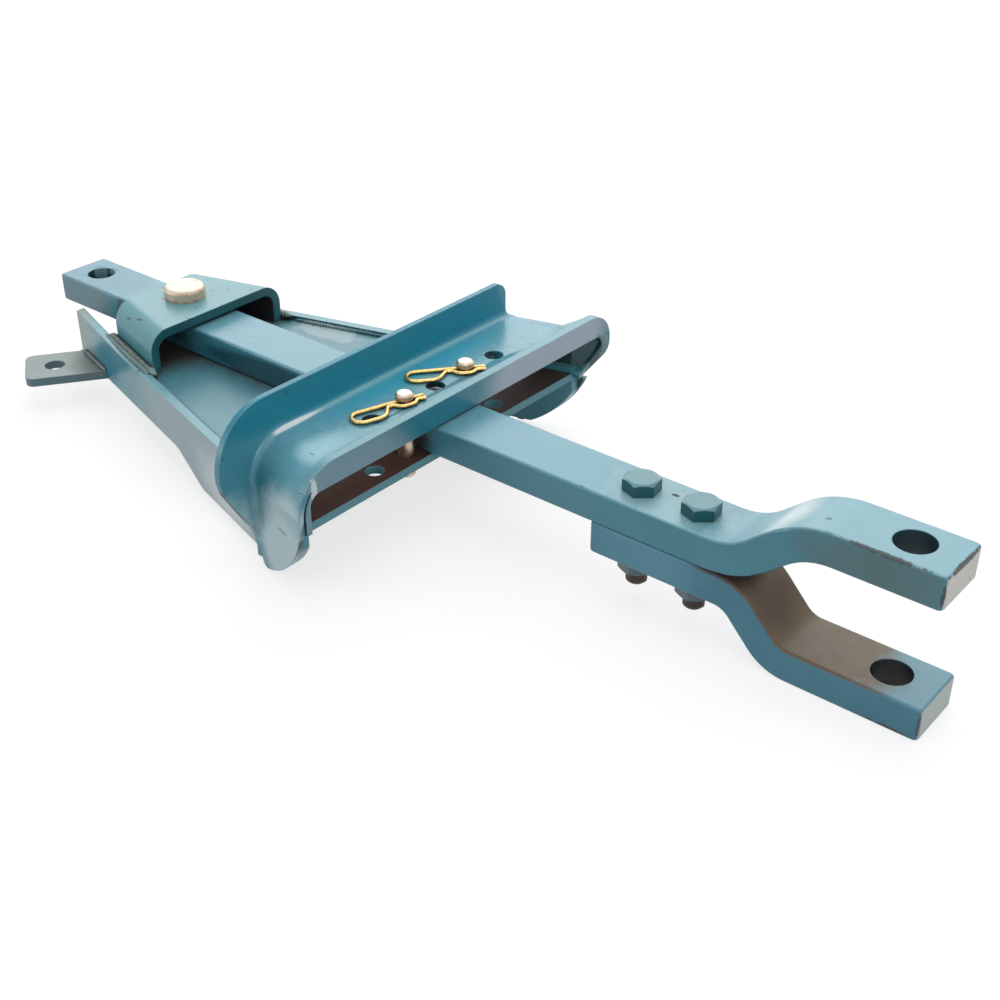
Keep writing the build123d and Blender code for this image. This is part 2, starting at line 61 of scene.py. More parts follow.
# %% Camera
camera_place = Vector((0.2770, -0.7405, 0.5542))
camera_looks = Vector((-0.5420, 0.6570, -0.5240))
camera_data = bpy.data.cameras.new("camera")
camera_data.lens = 51.9
camera_data.sensor_width = 36.0
camera = bpy.data.objects.new("camera", camera_data)
camera.location = camera_place
camera.rotation_mode = "QUATERNION"
camera.rotation_quaternion = camera_looks.to_track_quat("-Z", "Y")
bpy.context.scene.collection.objects.link(camera)
bpy.context.scene.camera = camera
print("camera at", tuple(round(c, 3) for c in camera_place))

# %% [markdown]
# ## Floor
# The object stands on a white table. To the camera, and in the gloss of the paint, the table shines
# by itself up to white. To all other light it is a middle grey card, so that little light comes up
# from below and the sides stay darker than the tops. The shadow stays in the part that it reflects.

# %% Floor
bpy.ops.object.select_all(action="DESELECT")
floor_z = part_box("clevis_strap")[0].z
bpy.ops.mesh.primitive_plane_add(size=12.0, location=(-0.4, 0.0, floor_z))
floor = bpy.context.object
floor.name = "floor"


def seen_rays(tree):
    """1 for the rays that show the room: straight from the camera, off gloss, or through glass."""
    path = tree.nodes.new("ShaderNodeLightPath")
    total = path.outputs["Is Camera Ray"]
    for label in ("Is Glossy Ray", "Is Transmission Ray"):
        either = tree.nodes.new("ShaderNodeMath")
        either.operation = "MAXIMUM"
        tree.links.new(total, either.inputs[0])
        tree.links.new(path.outputs[label], either.inputs[1])
        total = either.outputs[0]
    return total


def floor_material():
    mat = bpy.data.materials.new("white_table")
    mat.use_nodes = True
    tree = mat.node_tree
    shader = tree.nodes["Principled BSDF"]
    shader.inputs["Roughness"].default_value = 0.9
    shader.inputs["Specular IOR Level"].default_value = 0.0
    shader.inputs["Base Color"].default_value = (0.34, 0.34, 0.34, 1)
    shader.inputs["Emission Color"].default_value = (1, 1, 1, 1)
    glow = tree.nodes.new("ShaderNodeMath")
    glow.operation = "MULTIPLY"
    glow.inputs[1].default_value = 0.74
    tree.links.new(seen_rays(tree), glow.inputs[0])
    tree.links.new(glow.outputs[0], shader.inputs["Emission Strength"])
    return mat


floor.data.materials.append(floor_material())
print("table top at z", round(floor_z / MM, 1), "mm")

# %% [markdown]
# ## Light
# Gloss paint shows what is around it. Seen from here the flat tops mirror a place high up behind the
# object, so the largest soft panel stands there and lays a pale sheen on every top. The sides mirror
# the table, and stay deeper in colour.


# %% Lamps and room
def soft_panel(name, place, aim, size, power):
    """A rectangular softbox that faces a point."""
    data = bpy.data.lights.new(name, "AREA")
    data.shape = "RECTANGLE"
    data.size, data.size_y = size
    data.energy = power
    lamp = bpy.data.objects.new(name, data)
    lamp.location = place
    lamp.rotation_mode = "QUATERNION"
    lamp.rotation_quaternion = (Vector(aim) - Vector(place)).to_track_quat("-Z", "Y")
    bpy.context.scene.collection.objects.link(lamp)
    return lamp


middle = (-0.42, 0.0, 0.0)
soft_panel("back_panel", (-1.35, 1.65, 1.25), middle, (3.2, 1.8), 31.0)
soft_panel("top_panel", (-0.3, 0.1, 1.8), middle, (1.6, 1.6), 9.0)
soft_panel("left_panel", (-1.7, -1.3, 0.55), (-0.6, 0.0, 0.0), (1.0, 0.9), 7.0)
soft_panel("jaw_panel", (1.1, -0.5, 0.38), (0.03, 0.0, 0.0), (0.5, 0.5), 4.0)

world = bpy.data.worlds.new("room")
bpy.context.scene.world = world
world.use_nodes = True
room = world.node_tree.nodes["Background"]
room.inputs["Color"].default_value = (1.0, 1.0, 1.0, 1)
level = world.node_tree.nodes.new("ShaderNodeMix")
level.data_type = "FLOAT"
level.inputs["A"].default_value = 0.42
level.inputs["B"].default_value = 1.0
world.node_tree.links.new(seen_rays(world.node_tree), level.inputs["Factor"])
world.node_tree.links.new(level.outputs["Result"], room.inputs["Strength"])
bpy.context.scene.view_settings.view_transform = "Standard"

# %% [markdown]
# ## Shared effects
# Each effect is a node group with named inputs, so every paint uses the same one with its own values.
# First come a few helpers that make one node each.


# %% Helpers for node groups
def new_group(name, inputs, outputs):
    """A shader node group with named sockets."""
    group = bpy.data.node_groups.new(name, "ShaderNodeTree")
    for label, kind, value in inputs:
        socket = group.interface.new_socket(label, in_out="INPUT", socket_type=kind)
        socket.default_value = value
    for label in outputs:
        group.interface.new_socket(label, in_out="OUTPUT", socket_type="NodeSocketFloat")
    return group, group.nodes.new("NodeGroupInput"), group.nodes.new("NodeGroupOutput")


def feed(tree, socket, value):
    """Links a socket to another, or sets it."""
    if isinstance(value, bpy.types.NodeSocket):
        tree.links.new(value, socket)
    else:
        socket.default_value = value


def maths(tree, operation, a, b=0.0, clamp=False):
    """One step of arithmetic."""
    node = tree.nodes.new("ShaderNodeMath")
    node.operation = operation
    node.use_clamp = clamp
    feed(tree, node.inputs[0], a)
    feed(tree, node.inputs[1], b)
    return node.outputs[0]


def vectors(tree, operation, a, b, output="Vector"):
    """One step of arithmetic on places or directions."""
    node = tree.nodes.new("ShaderNodeVectorMath")
    node.operation = operation
    feed(tree, node.inputs[0], a)
    feed(tree, node.inputs[1], b)
    return node.outputs[output]


def ramp(tree, value, low, high):
    """0 at low, 1 at high, a smooth step between."""
    node = tree.nodes.new("ShaderNodeMapRange")
    node.interpolation_type = "SMOOTHSTEP"
    feed(tree, node.inputs["Value"], value)
    feed(tree, node.inputs["From Min"], low)
    feed(tree, node.inputs["From Max"], high)
    return node.outputs["Result"]


def blend_colour(tree, factor, a, b):
    """Colour a where factor is 0, b where it is 1."""
    node = tree.nodes.new("ShaderNodeMix")
    node.data_type = "RGBA"
    for label, value in (("Factor", factor), ("A", a), ("B", b)):
        socket = next(s for s in node.inputs if s.name == label and s.enabled)
        feed(tree, socket, (*value, 1) if isinstance(value, tuple) else value)
    return next(s for s in node.outputs if s.enabled)


def noise(tree, place, scale, detail=4.0, rough=0.55):
    """Fractal noise at a scale in blobs per metre."""
    node = tree.nodes.new("ShaderNodeTexNoise")
    feed(tree, node.inputs["Vector"], place)
    feed(tree, node.inputs["Scale"], scale)
    feed(tree, node.inputs["Detail"], detail)
    feed(tree, node.inputs["Roughness"], rough)
    return node.outputs["Fac"]


def own_place(tree):
    """The place on the piece itself, which moves with it."""
    return tree.nodes.new("ShaderNodeTexCoord").outputs["Object"]


def facing(tree, direction, low, high):
    """How much the surface faces a direction: 0 under the first cosine, 1 over the second."""
    normal = tree.nodes.new("ShaderNodeTexCoord").outputs["Normal"]
    return ramp(tree, vectors(tree, "DOT_PRODUCT", normal, direction, "Value"), low, high)


# %% [markdown]
# Edges lose their paint first. The Bevel node looks at the faces near a point: where its averaged
# normal leaves the true one, an edge is close by. Noise breaks that band up into chips, and a weaker
# band stays whole as the rim: a thin line where a coat of paint draws back from a sharp edge, made
# lighter also as a painted highlight along the edge.


# %% Edge wear group
def edge_wear_group():
    group, given, result = new_group(
        "edge_wear",
        [("Reach", "NodeSocketFloat", 0.002), ("Amount", "NodeSocketFloat", 0.5),
         ("Chip Scale", "NodeSocketFloat", 220.0)],
        ["Chips", "Rim"],
    )
    place = own_place(group)
    bevel = group.nodes.new("ShaderNodeBevel")
    bevel.samples = 6
    group.links.new(given.outputs["Reach"], bevel.inputs["Radius"])
    true_normal = group.nodes.new("ShaderNodeNewGeometry").outputs["Normal"]
    same = vectors(group, "DOT_PRODUCT", bevel.outputs["Normal"], true_normal, "Value")
    edge = maths(group, "SUBTRACT", 1.0, same, True)
    edge = maths(group, "MULTIPLY", edge, 3.4, True)
    chips = noise(group, place, given.outputs["Chip Scale"], 6.0, 0.65)
    patches = noise(group, place, 22.0, 3.0)
    level = maths(group, "ADD", chips, maths(group, "MULTIPLY", patches, 0.6))
    worn = maths(group, "MULTIPLY", maths(group, "MULTIPLY", edge, level), given.outputs["Amount"])
    group.links.new(ramp(group, worn, 0.40, 0.47), result.inputs["Chips"])
    group.links.new(edge, result.inputs["Rim"])
    return group


edge_wear = edge_wear_group()
print("group", edge_wear.name)

# %% [markdown]
# Dirt gathers where a cloth or the rain doesn't reach, and shade falls in the same places. Ambient
# occlusion finds them, and its darkening is dirt and painted shade at once.


# %% Grime and painted shade group
def grime_and_shade_group():
    group, given, result = new_group(
        "grime_and_shade",
        [("Depth", "NodeSocketFloat", 0.02), ("Amount", "NodeSocketFloat", 0.5)],
        ["Mask"],
    )
    hollow = group.nodes.new("ShaderNodeAmbientOcclusion")
    hollow.samples = 8
    group.links.new(given.outputs["Depth"], hollow.inputs["Distance"])
    closed = maths(group, "SUBTRACT", 1.0, hollow.outputs["AO"], True)
    mottle = noise(group, own_place(group), 70.0, 6.0, 0.7)
    dirt_and_shade = maths(group, "MULTIPLY", closed, maths(group, "ADD", mottle, 0.35))
    dirt_and_shade = maths(group, "MULTIPLY", dirt_and_shade, given.outputs["Amount"])
    group.links.new(ramp(group, dirt_and_shade, 0.12, 0.6), result.inputs["Mask"])
    return group


grime_and_shade = grime_and_shade_group()
print("group", grime_and_shade.name)

# %% [markdown]
# Sprayed gloss paint isn't flat: it has a fine orange peel, soft clouds where the coat is thin,
# hair scratches along the bar, and grains of dust and weld spatter caught under the coat.


# %% Paint film group
def paint_film_group():
    group, given, result = new_group(
        "paint_film",
        [("Cloud Scale", "NodeSocketFloat", 9.0), ("Peel Scale", "NodeSocketFloat", 700.0),
         ("Spatter", "NodeSocketFloat", 0.5)],
        ["Clouds", "Mottle", "Hairs", "Height"],
    )
    place = own_place(group)
    clouds = noise(group, place, given.outputs["Cloud Scale"], 5.0)
    group.links.new(ramp(group, clouds, 0.34, 0.66), result.inputs["Clouds"])
    mottle = noise(group, place, 120.0, 7.0, 0.68)
    group.links.new(ramp(group, mottle, 0.35, 0.68), result.inputs["Mottle"])
    stretch = group.nodes.new("ShaderNodeMapping")
    stretch.inputs["Scale"].default_value = (1.0, 14.0, 14.0)
    stretch.inputs["Rotation"].default_value = (0.0, 0.0, 0.12)
    group.links.new(place, stretch.inputs["Vector"])
    hairs = ramp(group, noise(group, stretch.outputs["Vector"], 30.0, 8.0, 0.75), 0.68, 0.76)
    group.links.new(hairs, result.inputs["Hairs"])
    peel = noise(group, place, given.outputs["Peel Scale"], 1.0)
    grain = group.nodes.new("ShaderNodeTexVoronoi")
    group.links.new(place, grain.inputs["Vector"])
    grain.inputs["Scale"].default_value = 260.0
    lumps = maths(group, "MULTIPLY", ramp(group, grain.outputs["Distance"], 0.30, 0.02),
                  ramp(group, noise(group, place, 45.0, 3.0), 0.52, 0.66))
    height = maths(group, "ADD", maths(group, "MULTIPLY", peel, 0.5),
                   maths(group, "MULTIPLY", lumps, given.outputs["Spatter"]))
    height = maths(group, "ADD", height, maths(group, "MULTIPLY", mottle, 0.6))
    height = maths(group, "SUBTRACT", height, maths(group, "MULTIPLY", hairs, 0.4))
    group.links.new(height, result.inputs["Height"])
    return group


paint_film = paint_film_group()
print("group", paint_film.name)

# %% [markdown]
# A knock leaves a short dark stroke with pointed ends. Stretched Voronoi cells give such a shape, one
# in the middle of each cell, and the random colour of the cell decides which cells keep theirs.


# %% Knocks group
def knocks_group():
    group, given, result = new_group(
        "knocks",
        [("Scale", "NodeSocketFloat", 60.0), ("Share", "NodeSocketFloat", 0.2),
         ("Turn", "NodeSocketVector", (0.0, 0.0, 0.5)), ("Thin", "NodeSocketVector", (1.0, 4.0, 1.0))],
        ["Mask"],
    )
    lay = group.nodes.new("ShaderNodeMapping")
    group.links.new(own_place(group), lay.inputs["Vector"])
    group.links.new(given.outputs["Turn"], lay.inputs["Rotation"])
    group.links.new(given.outputs["Thin"], lay.inputs["Scale"])
    cells = group.nodes.new("ShaderNodeTexVoronoi")
    group.links.new(lay.outputs["Vector"], cells.inputs["Vector"])
    group.links.new(given.outputs["Scale"], cells.inputs["Scale"])
    pick = group.nodes.new("ShaderNodeSeparateColor")
    group.links.new(cells.outputs["Color"], pick.inputs["Color"])
    kept = maths(group, "LESS_THAN", pick.outputs["Red"], given.outputs["Share"])
    ragged = maths(group, "MULTIPLY", noise(group, own_place(group), 500.0, 4.0), 0.14)
    reach = maths(group, "ADD", cells.outputs["Distance"], ragged)
    mask = maths(group, "MULTIPLY", ramp(group, reach, 0.26, 0.17), kept)
    group.links.new(mask, result.inputs["Mask"])
    return group


knocks = knocks_group()
print("group", knocks.name)

# %% [markdown]
# Some marks have one place on the real part: the brown film in the lower jaw, the bare ends where
# the bar was sawn, the pale overspray on the rails. Painted shade, shadows, highlights and reflections
# are laid in their places the same way. A stain is an ellipsoid in space with a ragged
# rim, and it can be kept to faces that look one way.


# %% Stain and painted light group
def stain_and_light_group():
    group, given, result = new_group(
        "stain_and_light",
        [("Centre", "NodeSocketVector", (0.0, 0.0, 0.0)), ("Size", "NodeSocketVector", (1.0, 1.0, 1.0)),
         ("Ragged", "NodeSocketFloat", 0.6), ("Grain", "NodeSocketFloat", 60.0),
         ("Facing", "NodeSocketVector", (0.0, 0.0, 1.0)), ("Least Facing", "NodeSocketFloat", -2.0),
         ("Soft", "NodeSocketFloat", 0.28)],
        ["Mask"],
    )
    place = own_place(group)
    from_centre = vectors(group, "SUBTRACT", place, given.outputs["Centre"])
    from_centre = vectors(group, "DIVIDE", from_centre, given.outputs["Size"])
    far = group.nodes.new("ShaderNodeVectorMath")
    far.operation = "LENGTH"
    group.links.new(from_centre, far.inputs[0])
    wobble = maths(group, "SUBTRACT", noise(group, place, given.outputs["Grain"], 7.0, 0.65), 0.5)
    wobble = maths(group, "MULTIPLY", wobble, given.outputs["Ragged"])
    reach = maths(group, "ADD", far.outputs["Value"], wobble)
    normal = group.nodes.new("ShaderNodeTexCoord").outputs["Normal"]
    cosine = vectors(group, "DOT_PRODUCT", normal, given.outputs["Facing"], "Value")
    least = given.outputs["Least Facing"]
    limit = ramp(group, cosine, least, maths(group, "ADD", least, 0.2))
    core = maths(group, "SUBTRACT", 1.0, given.outputs["Soft"])
    mask = maths(group, "MULTIPLY", ramp(group, reach, 1.0, core), limit)
    group.links.new(mask, result.inputs["Mask"])
    return group


stain_and_light = stain_and_light_group()
print("group", stain_and_light.name)

# %% [markdown]
# ## Paint
# One recipe makes all the paints. The colour is laid in the order the marks came on the real part: two
# shades of the coat, pale dust and painted sheen on what looks up, stains and patches of painted light
# and shade, hair scratches and knocks, dirt and painted shade in the hollows, a painted highlight on the
# rims, and last the chips, which show what is under the paint. The normal is rounded at each edge and
# carries the orange peel.


# %% Paint recipe
def use(tree, group, **values):
    """The outputs of a group placed in a material, with some inputs set."""
    node = tree.nodes.new("ShaderNodeGroup")
    node.node_tree = group
    for label, value in values.items():
        node.inputs[label.replace("_", " ")].default_value = value
    return node.outputs


UP, DOWN, REAR, FRONT, LEFT = (0, 0, 1), (0, 0, -1), (1, 0, 0), (-1, 0, 0), (0, -1, 0)
STEEL = (0.30, 0.28, 0.25)
RUST = (0.075, 0.035, 0.022)
DIRT_AND_SHADE = (0.055, 0.045, 0.038)


def paint(name, coat, shade, overlay_tone, top_overlay=0.5, stains_and_light=(), bare=STEEL, wear=0.5, reach=0.002,
          dirt_and_shade=DIRT_AND_SHADE, dirt_and_shade_amount=0.5, depth=0.02, gloss=0.27, strokes=0.0, turn=0.5, spatter=0.5,
          rim_highlight=0.25, stroke_scale=60.0):
    """Gloss paint over steel. Each stain or patch of painted light and shade is centre, size, colour,
    strength and options of the group.
    """
    mat = bpy.data.materials.new(name)
    mat.use_nodes = True
    tree = mat.node_tree
    shader = tree.nodes["Principled BSDF"]
    film = use(tree, paint_film, Spatter=spatter)
    worn = use(tree, edge_wear, Amount=wear, Reach=reach)
    hollow = use(tree, grime_and_shade, Amount=dirt_and_shade_amount, Depth=depth)
    body = blend_colour(tree, film["Clouds"], coat, shade)
    # a pale tone on what looks up: dust, and a painted sheen on the tops
    up = facing(tree, UP, 0.25, 0.9)
    top_overlay_mask = maths(tree, "ADD", maths(tree, "MULTIPLY", film["Mottle"], 0.16), 0.84)
    top_overlay_mask = maths(tree, "MULTIPLY", maths(tree, "MULTIPLY", up, top_overlay_mask), top_overlay)
    body = blend_colour(tree, top_overlay_mask, body, overlay_tone)
    matt = maths(tree, "MULTIPLY", film["Mottle"], 0.07)
    for centre, size, colour, strength, options in stains_and_light:
        mask = use(tree, stain_and_light, Centre=centre, Size=size, **options)["Mask"]
        mask = maths(tree, "MULTIPLY", mask, strength)
        body = blend_colour(tree, mask, body, colour)
        matt = maths(tree, "ADD", matt, maths(tree, "MULTIPLY", mask, 0.18))
    body = blend_colour(tree, maths(tree, "MULTIPLY", film["Hairs"], 0.3), body, overlay_tone)
    cut = worn["Chips"]
    if strokes:
        dark = use(tree, knocks, Share=strokes, Scale=stroke_scale, Turn=(0.0, 0.0, turn))["Mask"]
        body = blend_colour(tree, maths(tree, "MULTIPLY", dark, 0.75), body, DIRT_AND_SHADE)
        cut = maths(tree, "MAXIMUM", cut, maths(tree, "MULTIPLY", dark, 0.5))
    # dirt and painted shade in the hollows
    body = blend_colour(tree, hollow["Mask"], body, dirt_and_shade)
    # a lighter rim along the edges: thin paint there, and a painted highlight
    body = blend_colour(tree, maths(tree, "MULTIPLY", worn["Rim"], rim_highlight), body, overlay_tone)
    body = blend_colour(tree, worn["Chips"], body, bare)
    tree.links.new(body, shader.inputs["Base Color"])
    rough = maths(tree, "ADD", maths(tree, "ADD", gloss, matt),
                  maths(tree, "MULTIPLY", hollow["Mask"], 0.4))
    rough = maths(tree, "ADD", rough, maths(tree, "MULTIPLY", worn["Chips"], 0.2), True)
    tree.links.new(rough, shader.inputs["Roughness"])
    tree.links.new(maths(tree, "MULTIPLY", worn["Chips"], 0.35), shader.inputs["Metallic"])
    height = maths(tree, "SUBTRACT", film["Height"], maths(tree, "MULTIPLY", cut, 1.5))
    soft = tree.nodes.new("ShaderNodeBevel")
    soft.samples = 6
    soft.inputs["Radius"].default_value = 0.0012
    bump = tree.nodes.new("ShaderNodeBump")
    bump.inputs["Strength"].default_value = 0.3
    bump.inputs["Distance"].default_value = 0.0002
    tree.links.new(height, bump.inputs["Height"])
    tree.links.new(soft.outputs["Normal"], bump.inputs["Normal"])
    tree.links.new(bump.outputs["Normal"], shader.inputs["Normal"])
    return mat


# %% [markdown]
# ### Paint of the bar and its lower jaw
# The drawbar was sawn to length, so its end faces are bare and grey, with the coat broken along the
# cut. Round the two bolts the paint is rough. In the lower jaw the coat is rubbed and oily brown where
# implements have turned in it, and it is blue again only at the tip.

# %% Bar paints
TEAL, TEAL_LIGHT, TEAL_DUST_AND_SHEEN = (0.055, 0.255, 0.335), (0.085, 0.295, 0.38), (0.20, 0.44, 0.52)
SAWN = (0.66, 0.64, 0.58)
bar_paint = paint(
    "bar_paint", TEAL, TEAL_LIGHT, TEAL_DUST_AND_SHEEN, top_overlay=0.6, wear=0.54, strokes=0.025, turn=0.3, rim_highlight=0.35,
    stains_and_light=[
        # painted shade on the walls of the hitch hole and of the spare hole
        ((0.0, 0.0, 0.0512), (0.020, 0.020, 0.05), (0.003, 0.02, 0.03), 0.95,
         {"Facing": DOWN, "Least_Facing": -0.5, "Ragged": 0.0}),
        ((-0.821, 0.0, 0.011), (0.020, 0.020, 0.05), (0.003, 0.04, 0.05), 0.95,
         {"Facing": DOWN, "Least_Facing": -0.5, "Ragged": 0.0}),
        # painted sheen: a brighter top of the upper jaw
        ((-0.02, 0.0, 0.066), (0.10, 0.06, 0.012), (0.26, 0.49, 0.56), 0.7,
         {"Least_Facing": 0.6, "Soft": 0.6, "Ragged": 0.3}),
        # greyer side of the upper jaw
        ((-0.01, -0.0256, 0.05), (0.095, 0.004, 0.06), (0.095, 0.155, 0.155), 0.8,
         {"Facing": LEFT, "Least_Facing": 0.6, "Soft": 0.95, "Ragged": 1.0, "Grain": 60.0}),
        # painted highlight, pale, where the bar rises
        ((-0.089, 0.0, 0.056), (0.026, 0.05, 0.020), (0.74, 0.84, 0.87), 0.9,
         {"Facing": (-0.45, 0.0, 0.89), "Least_Facing": 0.78, "Soft": 0.8, "Ragged": 0.4}),
        # painted light on the side in the middle, painted shade on the deep side between bracket and
        # flange
        ((-0.28, -0.0256, 0.01), (0.16, 0.004, 0.03), (0.10, 0.30, 0.38), 0.5,
         {"Facing": LEFT, "Least_Facing": 0.6, "Soft": 0.9, "Ragged": 0.5, "Grain": 20.0}),
        ((-0.55, -0.0256, 0.008), (0.112, 0.004, 0.016), (0.0, 0.055, 0.08), 1.0,
         {"Facing": LEFT, "Least_Facing": 0.6, "Soft": 0.4, "Ragged": 0.2}),
        # sawn ends
        ((0.0335, 0.0, 0.0512), (0.006, 0.05, 0.035), SAWN, 0.9,
         {"Facing": REAR, "Least_Facing": 0.7, "Ragged": 1.1, "Grain": 90.0}),
        ((-0.851, 0.0, 0.011), (0.006, 0.05, 0.035), STEEL, 0.85,
         {"Facing": FRONT, "Least_Facing": 0.7, "Ragged": 1.0}),
        # rough paint round the bolts
        ((-0.178, 0.0, 0.024), (0.062, 0.034, 0.004), (0.36, 0.55, 0.58), 0.55,
         {"Ragged": 1.5, "Grain": 75.0, "Least_Facing": 0.6, "Soft": 0.5}),
        # duller front end with a dark patch beside the bracket
        ((-0.81, 0.0, 0.024), (0.08, 0.05, 0.004), (0.16, 0.31, 0.38), 0.6,
         {"Ragged": 0.9, "Least_Facing": 0.6, "Soft": 0.5}),
        ((-0.82, -0.0256, 0.011), (0.05, 0.004, 0.03), (0.15, 0.235, 0.255), 0.7,
         {"Ragged": 0.7, "Facing": LEFT, "Least_Facing": 0.6}),
        ((-0.752, -0.0256, 0.008), (0.019, 0.004, 0.03), (0.055, 0.085, 0.12), 0.85,
         {"Ragged": 0.9, "Grain": 90.0, "Facing": LEFT, "Least_Facing": 0.6}),
        # light crescent at the spare hole
        ((-0.8325, 0.0075, 0.020), (0.008, 0.008, 0.009), (0.17, 0.33, 0.38), 0.9,
         {"Ragged": 0.4, "Grain": 200.0}),
        ((-0.819, 0.0127, 0.021), (0.007, 0.005, 0.006), (0.17, 0.33, 0.38), 0.9,
         {"Ragged": 0.4, "Grain": 200.0}),
        # two pits in the paint
        ((-0.1799, 0.0082, 0.0239), (0.0036, 0.0019, 0.004), (0.01, 0.012, 0.014), 1.0,
         {"Ragged": 0.4, "Grain": 400.0}),
        ((-0.0555, -0.0083, 0.0639), (0.0034, 0.0022, 0.004), (0.05, 0.12, 0.14), 0.7,
         {"Ragged": 0.8, "Grain": 300.0}),
        # chipped edges of the jaw
        ((-0.010, -0.0245, 0.0639), (0.030, 0.0022, 0.0022), (0.06, 0.07, 0.07), 0.9,
         {"Ragged": 2.4, "Grain": 260.0}),
        ((0.0335, 0.0, 0.0632), (0.0022, 0.026, 0.003), (0.07, 0.06, 0.05), 0.9,
         {"Ragged": 2.0, "Grain": 240.0}),
        ((0.0330, -0.0252, 0.050), (0.0022, 0.0022, 0.014), (0.035, 0.04, 0.045), 0.9,
         {"Ragged": 1.2, "Grain": 240.0}),
        # painted shade on the bar inside the guide and under the bracket
        ((-0.412, 0.0, 0.004), (0.040, 0.05, 0.03), (0.02, 0.012, 0.012), 0.92,
         {"Ragged": 0.7, "Grain": 45.0}),
        ((-0.695, 0.0, 0.012), (0.045, 0.05, 0.011), (0.02, 0.02, 0.024), 0.7,
         {"Ragged": 0.3, "Facing": LEFT, "Least_Facing": 0.5, "Soft": 0.5}),
    ],
)
strap_paint = paint(
    "strap_paint", (0.045, 0.205, 0.30), (0.065, 0.24, 0.335), (0.17, 0.36, 0.42), top_overlay=0.5,
    wear=0.54, strokes=0.03, turn=1.2, rim_highlight=0.3,
    stains_and_light=[
        # painted shade: a black wall in the lower hole
        ((0.0, 0.0, -0.0512), (0.020, 0.020, 0.05), (0.005, 0.005, 0.006), 0.98,
         {"Facing": DOWN, "Least_Facing": -0.5, "Ragged": 0.0}),
        # lighter flat side
        ((-0.185, -0.0256, -0.014), (0.060, 0.004, 0.03), (0.12, 0.33, 0.44), 0.85,
         {"Facing": LEFT, "Least_Facing": 0.6, "Soft": 0.6, "Ragged": 0.4}),
        # oily brown film in the jaw, darker towards the bolts
        ((-0.075, 0.0, -0.03), (0.095, 0.06, 0.05), (0.145, 0.092, 0.042), 0.96,
         {"Ragged": 0.6, "Grain": 28.0, "Least_Facing": 0.2}),
        ((-0.098, 0.0, -0.026), (0.038, 0.05, 0.024), (0.07, 0.038, 0.026), 0.7,
         {"Ragged": 0.8, "Grain": 60.0, "Least_Facing": 0.1, "Soft": 0.7}),
        ((-0.125, 0.0, -0.004), (0.030, 0.05, 0.020), (0.04, 0.014, 0.012), 0.9,
         {"Ragged": 0.8, "Grain": 60.0, "Least_Facing": 0.1, "Soft": 0.5}),
        # sawn end and chipped edges
        ((0.0335, 0.0, -0.0512), (0.006, 0.05, 0.035), (0.50, 0.56, 0.52), 0.85,
         {"Facing": REAR, "Least_Facing": 0.7, "Ragged": 1.2, "Grain": 80.0}),
        ((0.012, -0.0252, -0.0632), (0.018, 0.0022, 0.0026), (0.02, 0.02, 0.022), 0.9,
         {"Ragged": 2.2, "Grain": 240.0}),
        ((0.0330, -0.0252, -0.052), (0.0022, 0.0022, 0.014), (0.04, 0.045, 0.05), 0.8,
         {"Ragged": 1.6, "Grain": 240.0}),
    ],
)
print("paints:", bar_paint.name, strap_paint.name)

# %% [markdown]
# ### Paint of the frame
# The guide is pressed from sheet. Its flange is a deep teal, darkened as painted shade, its hood is
# brighter with a painted reflection, and a painted highlight runs along the crease. Inside, where the
# bar slides, there is rust, and the rest of the inside is painted dark as painted shade. The rails
# carry a grey-lilac overspray outside, lightened further as painted light, with one darker patch of
# teal above the lug. The lugs are almost grey.

# %% Colours of the frame
DEEP_TEAL_SHADE = (0.002, 0.215, 0.32)
OVERSPRAY_AND_LIGHT = (0.38, 0.475, 0.525)
SHADE_TEAL = (0.004, 0.05, 0.068)
SHADE_BLACK = (0.012, 0.007, 0.005)
RED_RUST = (0.11, 0.038, 0.022)
PALE = (0.56, 0.75, 0.79)
RAIL_OUT = (-0.274, -0.962, 0.0)


def inside_legs(colour, low_x, high_x, reach):
    """Painted shade on the faces of the two legs that look at each other."""
    middle_x, half = (low_x + high_x) / 2, (high_x - low_x) / 2
    return [((middle_x, side * reach, 0.0), (half * 1.3, 0.05, 0.09), colour, 0.95,
             {"Facing": (0, -side, 0), "Least_Facing": 0.45, "Ragged": 0.3})
            for side in (-1, 1)]


